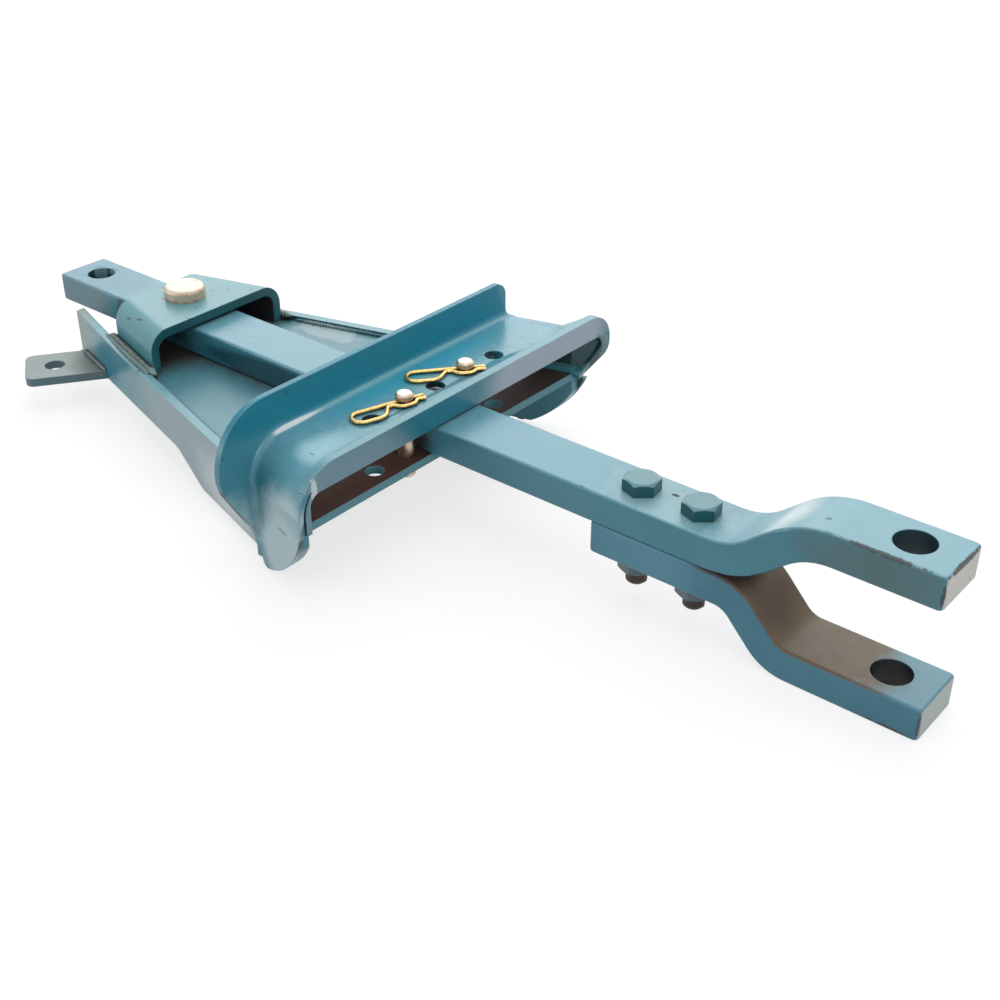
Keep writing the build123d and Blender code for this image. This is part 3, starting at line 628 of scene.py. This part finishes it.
# %% Guide paints
guide_paint = paint(
    "guide_paint", (0.045, 0.26, 0.35), (0.075, 0.30, 0.39), (0.20, 0.46, 0.55), top_overlay=0.62,
    wear=0.5, strokes=0.10, turn=0.9, stroke_scale=45.0, gloss=0.23, dirt_and_shade=(0.04, 0.03, 0.028), rim_highlight=0.35,
    stains_and_light=[
        # deep teal flange, darkened as painted shade
        ((-0.444, 0.0, 0.062), (0.011, 0.25, 0.03), DEEP_TEAL_SHADE, 0.92,
         {"Ragged": 0.3, "Grain": 12.0, "Soft": 0.3}),
        # painted highlight along the crease, brightest on the left
        ((-0.4375, 0.0, 0.0445), (0.0028, 0.17, 0.0028), (0.22, 0.48, 0.56), 0.8,
         {"Ragged": 0.3, "Grain": 30.0, "Soft": 0.6}),
        ((-0.4375, -0.119, 0.0440), (0.0026, 0.040, 0.0030), (0.86, 0.92, 0.93), 0.9,
         {"Ragged": 0.5, "Grain": 60.0, "Soft": 0.5}),
        # painted reflection: bright blue hood, paler at its rear edge
        ((-0.427, 0.01, 0.0424), (0.019, 0.15, 0.004), (0.02, 0.38, 0.54), 0.8,
         {"Ragged": 0.3, "Grain": 18.0, "Least_Facing": 0.5, "Soft": 0.8}),
        ((-0.400, -0.128, 0.0424), (0.020, 0.045, 0.005), (0.36, 0.66, 0.73), 0.8,
         {"Ragged": 0.3, "Grain": 18.0, "Least_Facing": 0.4, "Soft": 0.8}),
        # pale left skirt, partly painted light, with a scratch
        ((-0.40, -0.175, -0.022), (0.056, 0.046, 0.056), PALE, 0.85,
         {"Ragged": 0.5, "Grain": 30.0, "Facing": LEFT, "Least_Facing": -0.2, "Soft": 0.35}),
        ((-0.403, -0.167, -0.012), (0.010, 0.006, 0.0022), (0.12, 0.20, 0.21), 0.5,
         {"Ragged": 2.4, "Grain": 140.0}),
        # painted shade on the walls of the stop holes
        ((-0.415, 0.0, 0.0335), (0.022, 0.13, 0.03), (0.002, 0.03, 0.04), 0.95,
         {"Facing": DOWN, "Least_Facing": -0.5, "Ragged": 0.0}),
        # painted shade inside the guide
        ((-0.415, 0.0, 0.02), (0.10, 0.40, 0.06), SHADE_BLACK, 0.97,
         {"Facing": DOWN, "Least_Facing": 0.2, "Ragged": 0.3}),
        *inside_legs(SHADE_BLACK, -0.45, -0.38, 0.16),
        ((-0.388, 0.178, 0.015), (0.014, 0.05, 0.05), (0.008, 0.05, 0.058), 0.95,
         {"Facing": (0.7, -0.7, 0.0), "Least_Facing": -0.1, "Ragged": 1.2, "Grain": 90.0}),
    ],
)
# the deep coat is partly darkened as painted shade
slot_paint = paint(
    "slot_paint", (0.016, 0.19, 0.26), (0.028, 0.22, 0.30), (0.22, 0.46, 0.53), top_overlay=0.6,
    wear=0.5, strokes=0.03, turn=0.9, gloss=0.25, rim_highlight=0.45,
    stains_and_light=[
        # grey-blue left and lilac right
        ((-0.374, -0.125, 0.02), (0.012, 0.088, 0.06), (0.21, 0.35, 0.42), 0.9,
         {"Ragged": 0.3, "Grain": 14.0, "Facing": REAR, "Least_Facing": 0.3, "Soft": 0.5}),
        ((-0.374, 0.115, 0.03), (0.012, 0.10, 0.06), (0.46, 0.55, 0.64), 0.9,
         {"Ragged": 0.3, "Grain": 14.0, "Facing": REAR, "Least_Facing": 0.3, "Soft": 0.45}),
        # painted highlight at the corner
        ((-0.3755, -0.1555, 0.0285), (0.0045, 0.0036, 0.011), (0.80, 0.88, 0.90), 0.9,
         {"Ragged": 0.4, "Grain": 120.0}),
        # painted shade on the right end and on the front face
        ((-0.379, 0.178, 0.006), (0.010, 0.024, 0.027), (0.006, 0.045, 0.05), 0.95,
         {"Ragged": 1.6, "Grain": 70.0, "Soft": 0.5}),
        ((-0.384, 0.0, 0.02), (0.003, 0.20, 0.06), SHADE_BLACK, 0.95, {"Facing": FRONT, "Least_Facing": 0.3}),
    ],
)
# the top of the plate, deep in the guide, is painted near black as painted shade
bottom_paint = paint(
    "bottom_paint", (0.11, 0.31, 0.37), (0.14, 0.34, 0.40), SHADE_BLACK, top_overlay=0.97, wear=0.5, rim_highlight=0.0,
    gloss=0.6,
    stains_and_light=[
        # rust where the bar slides
        ((-0.40, -0.10, -0.002), (0.045, 0.11, 0.005), RED_RUST, 0.9,
         {"Least_Facing": 0.5, "Ragged": 1.3, "Grain": 50.0}),
        ((-0.40, 0.08, -0.002), (0.045, 0.09, 0.005), (0.06, 0.03, 0.022), 0.8,
         {"Least_Facing": 0.5, "Ragged": 1.3, "Grain": 50.0}),
    ],
)
print("guide paints:", guide_paint.name, slot_paint.name, bottom_paint.name)

# %% Bracket, rail and floor paints
bracket_paint = paint(
    "bracket_paint", (0.045, 0.24, 0.29), (0.07, 0.275, 0.325), (0.19, 0.42, 0.46), top_overlay=0.6,
    wear=0.54, reach=0.0013, strokes=1.0, turn=1.15, stroke_scale=36.0, gloss=0.29, spatter=0.9, rim_highlight=0.6,
    stains_and_light=[
        # painted shade on the edge that faces the rear
        ((-0.657, 0.0, 0.02), (0.004, 0.09, 0.05), (0.008, 0.10, 0.115), 0.95,
         {"Facing": REAR, "Least_Facing": 0.6, "Ragged": 0.3}),
        # painted shade under the bracket, rust-brown on the inner faces of its legs
        ((-0.695, 0.0, 0.0), (0.06, 0.10, 0.04), SHADE_BLACK, 0.97,
         {"Facing": DOWN, "Least_Facing": 0.1, "Ragged": 0.3}),
        *inside_legs((0.03, 0.012, 0.012), -0.735, -0.655, 0.07),
    ],
)
rail_paint = paint(
    "rail_paint", (0.05, 0.26, 0.335), (0.075, 0.295, 0.365), (0.22, 0.44, 0.50), top_overlay=0.6,
    wear=0.5, strokes=0.06, turn=0.4, spatter=0.9, rim_highlight=0.3,
    stains_and_light=[
        # grey-lilac overspray along both rails, lightened further as painted light
        *[((-0.54, side * 0.12, -0.02), (0.175, 0.09, 0.09), OVERSPRAY_AND_LIGHT, 0.9,
           {"Ragged": 0.4, "Grain": 9.0, "Facing": (-0.274, side * 0.962, 0.0),
            "Least_Facing": 0.7, "Soft": 0.5})
          for side in (-1, 1)],
        # darker teal patch above the left lug
        ((-0.735, -0.066, -0.02), (0.028, 0.03, 0.03), (0.025, 0.20, 0.28), 0.85,
         {"Ragged": 0.7, "Grain": 40.0, "Soft": 0.6, "Facing": RAIL_OUT, "Least_Facing": 0.7}),
        # pale spray towards the guide, lightened further as painted light
        ((-0.50, -0.132, -0.035), (0.085, 0.04, 0.045), (0.80, 0.90, 0.92), 0.9,
         {"Ragged": 0.7, "Grain": 18.0, "Facing": RAIL_OUT, "Least_Facing": 0.7, "Soft": 0.8}),
        # beige noses
        *[((-0.802, side * 0.05, -0.01), (0.045, 0.04, 0.05), (0.36, 0.43, 0.39), 0.85,
           {"Ragged": 0.6, "Grain": 40.0, "Soft": 0.6})
          for side in (-1, 1)],
        *inside_legs(SHADE_TEAL, -0.66, -0.38, 0.10),
    ],
)
# wide darkening in the hollows: painted shade under the bar and along the rails
floor_paint = paint(
    "floor_paint", (0.035, 0.19, 0.25), (0.065, 0.24, 0.30), (0.12, 0.30, 0.35), top_overlay=0.5,
    wear=0.4, dirt_and_shade_amount=0.9, depth=0.045, gloss=0.34, spatter=0.8, rim_highlight=0.1,
    stains_and_light=[
        # painted shadow on the far side, with a painted highlight before it
        ((-0.50, 0.112, -0.002), (0.085, 0.030, 0.005), (0.006, 0.085, 0.11), 0.95,
         {"Ragged": 0.5, "Grain": 30.0, "Soft": 0.4}),
        ((-0.605, 0.083, -0.002), (0.040, 0.016, 0.004), (0.40, 0.53, 0.55), 0.8,
         {"Ragged": 1.3, "Grain": 55.0}),
        # painted light on the near side
        ((-0.54, -0.10, -0.002), (0.08, 0.03, 0.004), (0.20, 0.39, 0.44), 0.8,
         {"Ragged": 0.6, "Grain": 25.0, "Soft": 0.7}),
        # painted shadow under the bracket and under the bar
        ((-0.695, 0.0, -0.002), (0.052, 0.09, 0.004), SHADE_BLACK, 0.95, {"Ragged": 0.4, "Soft": 0.6}),
        ((-0.445, -0.03, -0.002), (0.075, 0.06, 0.006), (0.035, 0.02, 0.02), 0.92,
         {"Ragged": 0.7, "Grain": 40.0, "Soft": 0.7}),
        ((-0.42, 0.0, -0.002), (0.05, 0.2, 0.008), SHADE_BLACK, 0.9, {"Ragged": 0.6, "Soft": 0.5}),
    ],
)
lug_paint = paint(
    "lug_paint", (0.10, 0.20, 0.24), (0.13, 0.23, 0.265), (0.20, 0.275, 0.26), top_overlay=0.95,
    wear=0.54, strokes=0.06, spatter=0.9, rim_highlight=0.3,
    stains_and_light=[
        # brown scale from the heat of welding
        *[((-0.765, side * 0.068, -0.03), (0.03, 0.022, 0.006), (0.17, 0.15, 0.12), 0.35,
           {"Ragged": 1.3, "Grain": 60.0, "Soft": 0.6})
          for side in (-1, 1)],
    ],
)
weld_paint = paint(
    "weld_paint", (0.15, 0.27, 0.275), (0.22, 0.31, 0.29), (0.26, 0.36, 0.34), top_overlay=0.5, wear=0.5,
    dirt_and_shade_amount=1.6, depth=0.008, gloss=0.32, spatter=1.0, rim_highlight=0.1,
)
washer_paint = paint("washer_paint", TEAL, TEAL_LIGHT, TEAL_DUST_AND_SHEEN, wear=0.54)
print("paints of the frame:", len([m for m in bpy.data.materials if m.name.endswith("_paint")]))

# %% [markdown]
# ### Paint of the bolts
# The bolt heads took the spray from above: their tops match the bar, with its pale dust and painted
# sheen, and their flanks are a much darker teal with worn corners and a painted highlight on the
# edges. The nuts below caught only a mist, and the ends of the threads are bare and rusty.

# %% Bolt paints
bolt_paint = paint(
    "bolt_paint", (0.006, 0.085, 0.10), (0.010, 0.105, 0.125), (0.10, 0.29, 0.33), top_overlay=1.0,
    wear=0.42, reach=0.0012, gloss=0.2, rim_highlight=0.5,
    stains_and_light=[
        # bare, rusty ends below the nuts
        *[((x, 0.0, -0.049), (0.012, 0.012, 0.0075), RUST, 0.95, {"Ragged": 0.5, "Grain": 200.0})
          for x in (-0.2034, -0.1534)],
    ],
)
nut_paint = paint(
    "nut_paint", (0.13, 0.20, 0.225), (0.19, 0.26, 0.28), (0.24, 0.34, 0.36), top_overlay=0.5,
    wear=0.5, reach=0.0012, gloss=0.36, dirt_and_shade=RUST, dirt_and_shade_amount=0.45, depth=0.005, spatter=0.9,
)
rusty_thread = paint(
    "rusty_thread", (0.05, 0.035, 0.028), (0.085, 0.055, 0.04), (0.10, 0.07, 0.055), top_overlay=0.3,
    wear=0.45, reach=0.0008, gloss=0.45, dirt_and_shade=(0.015, 0.01, 0.008), dirt_and_shade_amount=0.9, depth=0.004,
)
print("bolt finishes:", bolt_paint.name, nut_paint.name, rusty_thread.name)

# %% [markdown]
# ### Bare metal
# The pins are turned steel and so bright on top that they look white; that white is a painted
# highlight, laid dull on the tops. The clips are drawn wire with a thin yellow plating. Metal has no
# colour of its own apart from what it mirrors, so the tint is in Base Color, and the brown in the
# hollows, dirt and painted shade, comes from the grime group.


# %% Metal recipe
def bare_metal(name, colour, tarnish, rough, grain, dirt_and_shade_amount=0.7, depth=0.006, top_highlight=None, shine=1.0):
    """Turned or drawn metal with tarnish in patches. A colour for the top, if given, is laid dull and
    pale on the faces that look up as a painted highlight, and shine is how much of it acts as metal."""
    mat = bpy.data.materials.new(name)
    mat.use_nodes = True
    tree = mat.node_tree
    shader = tree.nodes["Principled BSDF"]
    place = own_place(tree)
    spots = noise(tree, place, grain, 6.0, 0.7)
    hollow = use(tree, grime_and_shade, Amount=dirt_and_shade_amount, Depth=depth)
    tint = blend_colour(tree, ramp(tree, spots, 0.46, 0.74), colour, tarnish)
    metal = maths(tree, "SUBTRACT", shine, maths(tree, "MULTIPLY", hollow["Mask"], 0.4), True)
    # painted highlight: a dull, pale top on the faces that look up
    if top_highlight:
        top = maths(tree, "MULTIPLY", facing(tree, UP, 0.72, 0.93), ramp(tree, spots, 0.72, 0.5))
        tint = blend_colour(tree, top, tint, top_highlight)
        left = maths(tree, "SUBTRACT", 1.0, maths(tree, "MULTIPLY", top, 0.8))
        metal = maths(tree, "MULTIPLY", metal, left)
    # dark tarnish in the hollows: dirt and painted shade
    tint = blend_colour(tree, hollow["Mask"], tint, tuple(c * 0.3 for c in tarnish))
    tree.links.new(tint, shader.inputs["Base Color"])
    tree.links.new(metal, shader.inputs["Metallic"])
    dull = maths(tree, "ADD", rough, maths(tree, "MULTIPLY", spots, 0.22))
    tree.links.new(dull, shader.inputs["Roughness"])
    soft = tree.nodes.new("ShaderNodeBevel")
    soft.samples = 6
    soft.inputs["Radius"].default_value = 0.0006
    bump = tree.nodes.new("ShaderNodeBump")
    bump.inputs["Strength"].default_value = 0.2
    bump.inputs["Distance"].default_value = 0.0001
    tree.links.new(spots, bump.inputs["Height"])
    tree.links.new(soft.outputs["Normal"], bump.inputs["Normal"])
    tree.links.new(bump.outputs["Normal"], shader.inputs["Normal"])
    return mat


pivot_steel = bare_metal("pivot_steel", (0.66, 0.52, 0.40), (0.34, 0.19, 0.10), 0.36, 160.0,
                         top_highlight=(0.93, 0.89, 0.76), shine=0.55)
pin_steel = bare_metal("pin_steel", (0.60, 0.50, 0.38), (0.30, 0.18, 0.09), 0.24, 320.0,
                       top_highlight=(0.93, 0.92, 0.90))
gilt_wire = bare_metal("gilt_wire", (0.83, 0.58, 0.23), (0.42, 0.22, 0.06), 0.22, 420.0, dirt_and_shade_amount=0.9,
                       depth=0.005)
print("metals:", pivot_steel.name, pin_steel.name, gilt_wire.name)

# %% [markdown]
# ### Finish of every solid
# Each solid gets its finish by name, and a solid that isn't named gets the one of its slot.

# %% Finish of every solid
by_slot = {
    "frame_paint": washer_paint,
    "bar_paint": bar_paint,
    "bolt_paint": bolt_paint,
    "bright_steel": pin_steel,
    "gilt_wire": gilt_wire,
}
by_node = {
    "clevis_strap": strap_paint,
    "front_clevis_nut": nut_paint,
    "rear_clevis_nut": nut_paint,
    "front_spring_washer": nut_paint,
    "rear_spring_washer": nut_paint,
    "floor_plate": floor_paint,
    "left_side_rail": rail_paint,
    "right_side_rail": rail_paint,
    "left_mounting_lug": lug_paint,
    "right_mounting_lug": lug_paint,
    "pivot_bracket": bracket_paint,
    "left_bracket_weld": weld_paint,
    "right_bracket_weld": weld_paint,
    "guide_arch": guide_paint,
    "guide_slot_plate": slot_paint,
    "guide_bottom_plate": bottom_paint,
    "pivot_pin": pivot_steel,
}
for part in frame["record"]["subparts"]:
    mesh = nodes[part["node"]].data
    mesh.materials.clear()
    mesh.materials.append(by_node.get(part["node"], by_slot[part["material_slot"]]))

# %% [markdown]
# ## Welds
# A hand weld is a row of small scales, each laid half over the last. It could be a bump on a smooth
# strip, but then its outline stays straight. Here a disc is pushed out along the seam again and again
# and made a little larger and smaller on the way, so the outline is as uneven as the real one.


# %% Weld helper
def enter_edit(piece):
    """Edit mode on one piece, with all of it selected."""
    bpy.ops.object.select_all(action="DESELECT")
    piece.select_set(True)
    bpy.context.view_layer.objects.active = piece
    bpy.ops.object.mode_set(mode="EDIT")
    bpy.ops.mesh.select_all(action="SELECT")


def settle(angle):
    """Back in object mode: outward faces, place moved into the mesh, smooth shading up to an angle."""
    bpy.ops.mesh.select_all(action="SELECT")
    bpy.ops.mesh.remove_doubles(threshold=1e-6)
    bpy.ops.mesh.normals_make_consistent(inside=False)
    bpy.ops.object.mode_set(mode="OBJECT")
    bpy.ops.object.transform_apply(location=True, rotation=True, scale=True)
    bpy.ops.object.shade_smooth_by_angle(angle=radians(angle))


def weld_bead(name, start, end, radius, pitch, dice):
    """A bead of scales from start to end, in metres, with tapered ends."""
    start, end = Vector(start), Vector(end)
    way = (end - start).normalized()
    steps = ceil((end - start).length / pitch)
    pitch = (end - start).length / steps
    bpy.ops.object.select_all(action="DESELECT")
    bpy.ops.mesh.primitive_circle_add(
        vertices=10, radius=radius, fill_type="NGON", location=start,
        rotation=way.to_track_quat("Z", "Y").to_euler())
    bead = bpy.context.object
    bead.name = name
    enter_edit(bead)
    size, place = radius, start.copy()
    bpy.ops.transform.resize(value=(0.45,) * 3, center_override=place)
    size *= 0.45
    for step in range(steps):
        taper = min(1.0, 0.55 + 0.3 * min(step, steps - 1 - step))
        for share, fat in ((0.25, 1.14), (0.4, 1.02), (0.35, 0.74)):
            place += way * pitch * share
            bpy.ops.mesh.extrude_region_move(TRANSFORM_OT_translate={"value": way * pitch * share})
            wanted = radius * fat * taper * dice.uniform(0.9, 1.08)
            bpy.ops.transform.resize(value=(wanted / size,) * 3, center_override=place)
            size = wanted
    bpy.ops.transform.resize(value=(0.45,) * 3, center_override=place)
    settle(60.0)
    bead.data.materials.append(weld_paint)
    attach(bead, "frame")
    return bead


# %% [markdown]
# The rails spread towards the guide, so the seams along them are slanted. Their line is worked out
# from the same numbers as the rails: half the width in front, and how much it grows over the length.

# %% Weld seams
RAIL_FRONT, RAIL_HALF, RAIL_SPREAD = -802.0, 45.7, 0.28496
RAIL_SKIN = 8.32
FLOOR_TOP, RAIL_TOP, LUG_TOP = -2.1, 1.9, -30.1


def on_rail(x, side, z, inside=False, out=0.0):
    """A point of a rail's outer or inner face, in metres, moved outwards from the bar by out."""
    half = RAIL_HALF + (x - RAIL_FRONT) * RAIL_SPREAD - (RAIL_SKIN if inside else 0.0)
    return (x * MM, side * (half + out) * MM, z * MM)


dice = random.Random(11)
beads = []
for side, hand in ((-1, "left"), (1, "right")):
    seams = {
        "bracket_bead": (
            on_rail(-742, side, 3.0, True, -2.0), on_rail(-648, side, 2.4, True, -2.4), 3.5),
        "bracket_cap_bead": (
            on_rail(-748, side, 1.6, True, 2.2), on_rail(-655, side, 1.6, True, 1.6), 2.9),
        "floor_bead": (
            on_rail(-646, side, -1.6, True, -0.6), on_rail(-452, side, -1.6, True, -0.6), 2.3),
        "lug_bead": (
            on_rail(-793, side, LUG_TOP + 0.6, out=0.8),
            on_rail(-744, side, LUG_TOP + 0.6, out=0.8), 2.8),
        "flange_bead": (
            on_rail(-446.5, side, -34.0, out=0.6), on_rail(-446.5, side, 0.5, out=0.6), 2.6),
    }
    for label, (start, end, radius) in seams.items():
        beads.append(weld_bead(f"{hand}_{label}", start, end, radius * MM, 3.1 * MM, dice))
        if label == "floor_bead":
            beads[-1].data.materials[0] = floor_paint
print("weld beads:", len(beads), "faces:", sum(len(b.data.polygons) for b in beads))

# %% [markdown]
# ## Far end of the guide
# At its right end the hood runs straight to the rear and only the last centimetre of the sheet is
# flared out to meet the wider slot plate. The solid of the guide has a deeper block there, which
# would stand up behind the plate. So the guide is copied, the block is cut off the copy, and a bent
# strip of sheet takes its place. The strip is a bent line pushed to the rear and given a thickness.

# %% Guide without its block
SHEET, BEND = 5.0, 20.0
HOOD_TOP, FLARE_FRONT, LIP_FRONT, HOOD_REAR = 42.4, -414.6, -392.0, -383.0
STRIP_REACH = BEND + 2.0
LIP_OUT, LIP_UP = 26.0, 1.2
NEAR = 0.1 * MM


def hood_side(x, inwards, z):
    """A point of the hood's right side in metres, some mm in from its outer face."""
    half = RAIL_HALF + (x - RAIL_FRONT) * RAIL_SPREAD + SHEET
    return Vector((x * MM, (half - inwards) * MM, z * MM))


def upright_sheet(name, corner, opposite):
    """A flat rectangle across the bar, between two corners at the same x."""
    bpy.ops.object.select_all(action="DESELECT")
    bpy.ops.mesh.primitive_plane_add(size=1.0, location=(corner + opposite) / 2, rotation=(0, pi / 2, 0))
    sheet = bpy.context.object
    sheet.name = name
    sheet.scale = (abs(corner.z - opposite.z), abs(corner.y - opposite.y), 1.0)
    bpy.ops.object.transform_apply(location=True, rotation=True, scale=True)
    return sheet


def cut_off(piece, cutter):
    """Takes a closed cutter away from a closed piece."""
    cut = piece.modifiers.new("cut", "BOOLEAN")
    cut.operation, cut.object, cut.solver = "DIFFERENCE", cutter, "EXACT"
    bpy.ops.object.select_all(action="DESELECT")
    piece.select_set(True)
    bpy.context.view_layer.objects.active = piece
    bpy.ops.object.modifier_apply(modifier=cut.name)
    bpy.data.objects.remove(cutter)


def pick_points(piece, wanted):
    """Edit mode with only the vertices selected whose place is wanted."""
    bpy.ops.object.mode_set(mode="OBJECT")
    enter_edit(piece)
    bpy.ops.mesh.select_mode(type="VERT")
    bpy.ops.mesh.select_all(action="DESELECT")
    bpy.ops.object.mode_set(mode="OBJECT")
    for vertex in piece.data.vertices:
        vertex.select = wanted(vertex.co)
    bpy.ops.object.mode_set(mode="EDIT")


def open_edges(piece):
    """How many edges don't have exactly two faces."""
    enter_edit(piece)
    bpy.ops.mesh.select_all(action="DESELECT")
    bpy.ops.mesh.select_non_manifold()
    bpy.ops.object.mode_set(mode="OBJECT")
    return sum(edge.select for edge in piece.data.edges)


arch = nodes["guide_arch"].copy()
arch.data = nodes["guide_arch"].data.copy()
arch.name = "guide_arch_bent"
bpy.context.scene.collection.objects.link(arch)
enter_edit(arch)
bpy.ops.mesh.remove_doubles(threshold=1e-6)
bpy.ops.object.mode_set(mode="OBJECT")
print("open edges of the copy:", open_edges(arch))

inner_low = hood_side(FLARE_FRONT, STRIP_REACH, FLOOR_TOP)
outer_top = hood_side(FLARE_FRONT, 0.0, HOOD_TOP)
cutter = upright_sheet("flare_cutter", inner_low, hood_side(FLARE_FRONT, -60.0, 70.0))
enter_edit(cutter)
to_rear = hood_side(HOOD_REAR + 1.0, 0.0, 0.0) - hood_side(FLARE_FRONT, 0.0, 0.0)
bpy.ops.mesh.extrude_region_move(TRANSFORM_OT_translate={"value": to_rear})
bpy.ops.mesh.normals_make_consistent(inside=False)
bpy.ops.object.mode_set(mode="OBJECT")
cut_off(arch, cutter)
print("open edges after the cut:", open_edges(arch))

# %% Bent strip with a lip
strip = upright_sheet("guide_lip", inner_low, outer_top)
pick_points(strip, lambda place: (place - inner_low).length < NEAR)
bpy.ops.mesh.delete(type="VERT")
pick_points(strip, lambda place: (place - outer_top).length < NEAR)
bpy.ops.mesh.bevel(offset=BEND * MM, segments=16, profile=0.5, affect="VERTICES")
bpy.ops.mesh.select_all(action="SELECT")
for before, x in ((FLARE_FRONT, LIP_FRONT), (LIP_FRONT, HOOD_REAR)):
    step = hood_side(x, 0.0, 0.0) - hood_side(before, 0.0, 0.0)
    bpy.ops.mesh.extrude_region_move(TRANSFORM_OT_translate={"value": step})
rear_ends = hood_side(HOOD_REAR, 0.0, FLOOR_TOP), hood_side(HOOD_REAR, STRIP_REACH, HOOD_TOP)
pick_points(strip, lambda place: place.x > HOOD_REAR * MM - NEAR
            and min((place - end).length for end in rear_ends) > NEAR)
bpy.ops.transform.translate(value=(0.0, LIP_OUT * MM, LIP_UP * MM))
bpy.ops.mesh.select_all(action="SELECT")
bpy.ops.mesh.normals_make_consistent(inside=False)
bpy.ops.object.mode_set(mode="OBJECT")
upward = sum(face.normal.z * face.area for face in strip.data.polygons)
skin = strip.modifiers.new("skin", "SOLIDIFY")
skin.thickness = SHEET * MM
skin.offset = -1.0 if upward > 0 else 1.0
skin.use_even_offset = True
bpy.ops.object.modifier_apply(modifier="skin")
print("faces of the strip:", len(strip.data.polygons), "open edges:", open_edges(strip))

# %% Guide and strip finished
for piece in (arch, strip):
    enter_edit(piece)
    settle(35.0)
    piece.data.materials.clear()
    piece.data.materials.append(guide_paint)
    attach(piece, "frame")
    print(piece.name, "open edges:", open_edges(piece), "faces:", len(piece.data.polygons))
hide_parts("guide_arch")

# %% [markdown]
# Welding throws small balls of steel that stick to the plate round the seam and are painted over.
# One ball is modelled, a low sphere pressed flat, and copied to where the welder worked.

# %% Spatter
bpy.ops.object.select_all(action="DESELECT")
bpy.ops.mesh.primitive_ico_sphere_add(subdivisions=2, radius=1.0 * MM)
ball = bpy.context.object
ball.name = "spatter_ball"
enter_edit(ball)
bpy.ops.transform.resize(value=(1.0, 1.0, 0.55))
bpy.ops.object.mode_set(mode="OBJECT")

drops = []
for side in (-1, 1):
    for x, z, inside, spread in ((-695, RAIL_TOP, True, 7.0), (-640, FLOOR_TOP, True, -10.0),
                                 (-768, LUG_TOP, False, 9.0)):
        for _ in range(9):
            place = on_rail(x + dice.uniform(-34, 34), side, z, inside, dice.uniform(0.2, 1.0) * spread)
            drops.append((place, dice.uniform(0.5, 1.25)))
copies = []
for place, size in drops:
    copy = ball.copy()
    copy.data = ball.data.copy()
    copy.location = place
    copy.scale = (size, size, size)
    bpy.context.scene.collection.objects.link(copy)
    copies.append(copy)
bpy.data.objects.remove(ball)
bpy.ops.object.select_all(action="DESELECT")
for copy in copies:
    copy.select_set(True)
bpy.context.view_layer.objects.active = copies[0]
bpy.ops.object.join()
spatter = bpy.context.object
spatter.name = "weld_spatter"
enter_edit(spatter)
settle(80.0)
spatter.data.materials.append(weld_paint)
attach(spatter, "frame")
print("balls of spatter:", len(drops))

# %% [markdown]
# ## Threads
# The bolts reach well below their nuts, and there the thread shows. It could be grooves cut into the
# shank, but a ridge wound on the shank is the same to the eye: a small triangle is carried round and
# down by a Screw modifier, one pitch per turn, and closed at both ends.


# %% Thread on the bolt ends
def thread(name, x, low, high, radius, pitch):
    """A helical ridge round a vertical shank, in mm."""
    bpy.ops.object.select_all(action="DESELECT")
    bpy.ops.mesh.primitive_circle_add(
        vertices=3, radius=0.78 * MM, fill_type="NOTHING",
        location=((x + radius) * MM, 0.0, low * MM), rotation=(pi / 2, 0.0, 0.0))
    ridge = bpy.context.object
    ridge.name = name
    enter_edit(ridge)
    bpy.ops.transform.rotate(value=pi / 2, orient_axis="Y", center_override=ridge.location)
    bpy.ops.object.mode_set(mode="OBJECT")
    bpy.ops.object.transform_apply(location=True, rotation=True, scale=True)
    bpy.context.scene.cursor.location = (x * MM, 0.0, 0.0)
    bpy.ops.object.origin_set(type="ORIGIN_CURSOR")
    winding = ridge.modifiers.new("winding", "SCREW")
    winding.screw_offset = pitch * MM
    winding.iterations = round((high - low) / pitch)
    winding.steps = winding.render_steps = 28
    bpy.ops.object.modifier_apply(modifier="winding")
    enter_edit(ridge)
    bpy.ops.mesh.select_all(action="DESELECT")
    bpy.ops.mesh.select_non_manifold()
    bpy.ops.mesh.edge_face_add()
    settle(30.0)
    ridge.data.materials.append(rusty_thread)
    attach(ridge, "swing_bar")
    return ridge


ridges = [thread(f"{label}_thread", x, -52.4, -44.4, 7.75, 2.0)
          for label, x in (("front_bolt", -203.4), ("rear_bolt", -153.4))]
print("thread faces:", [len(r.data.polygons) for r in ridges])
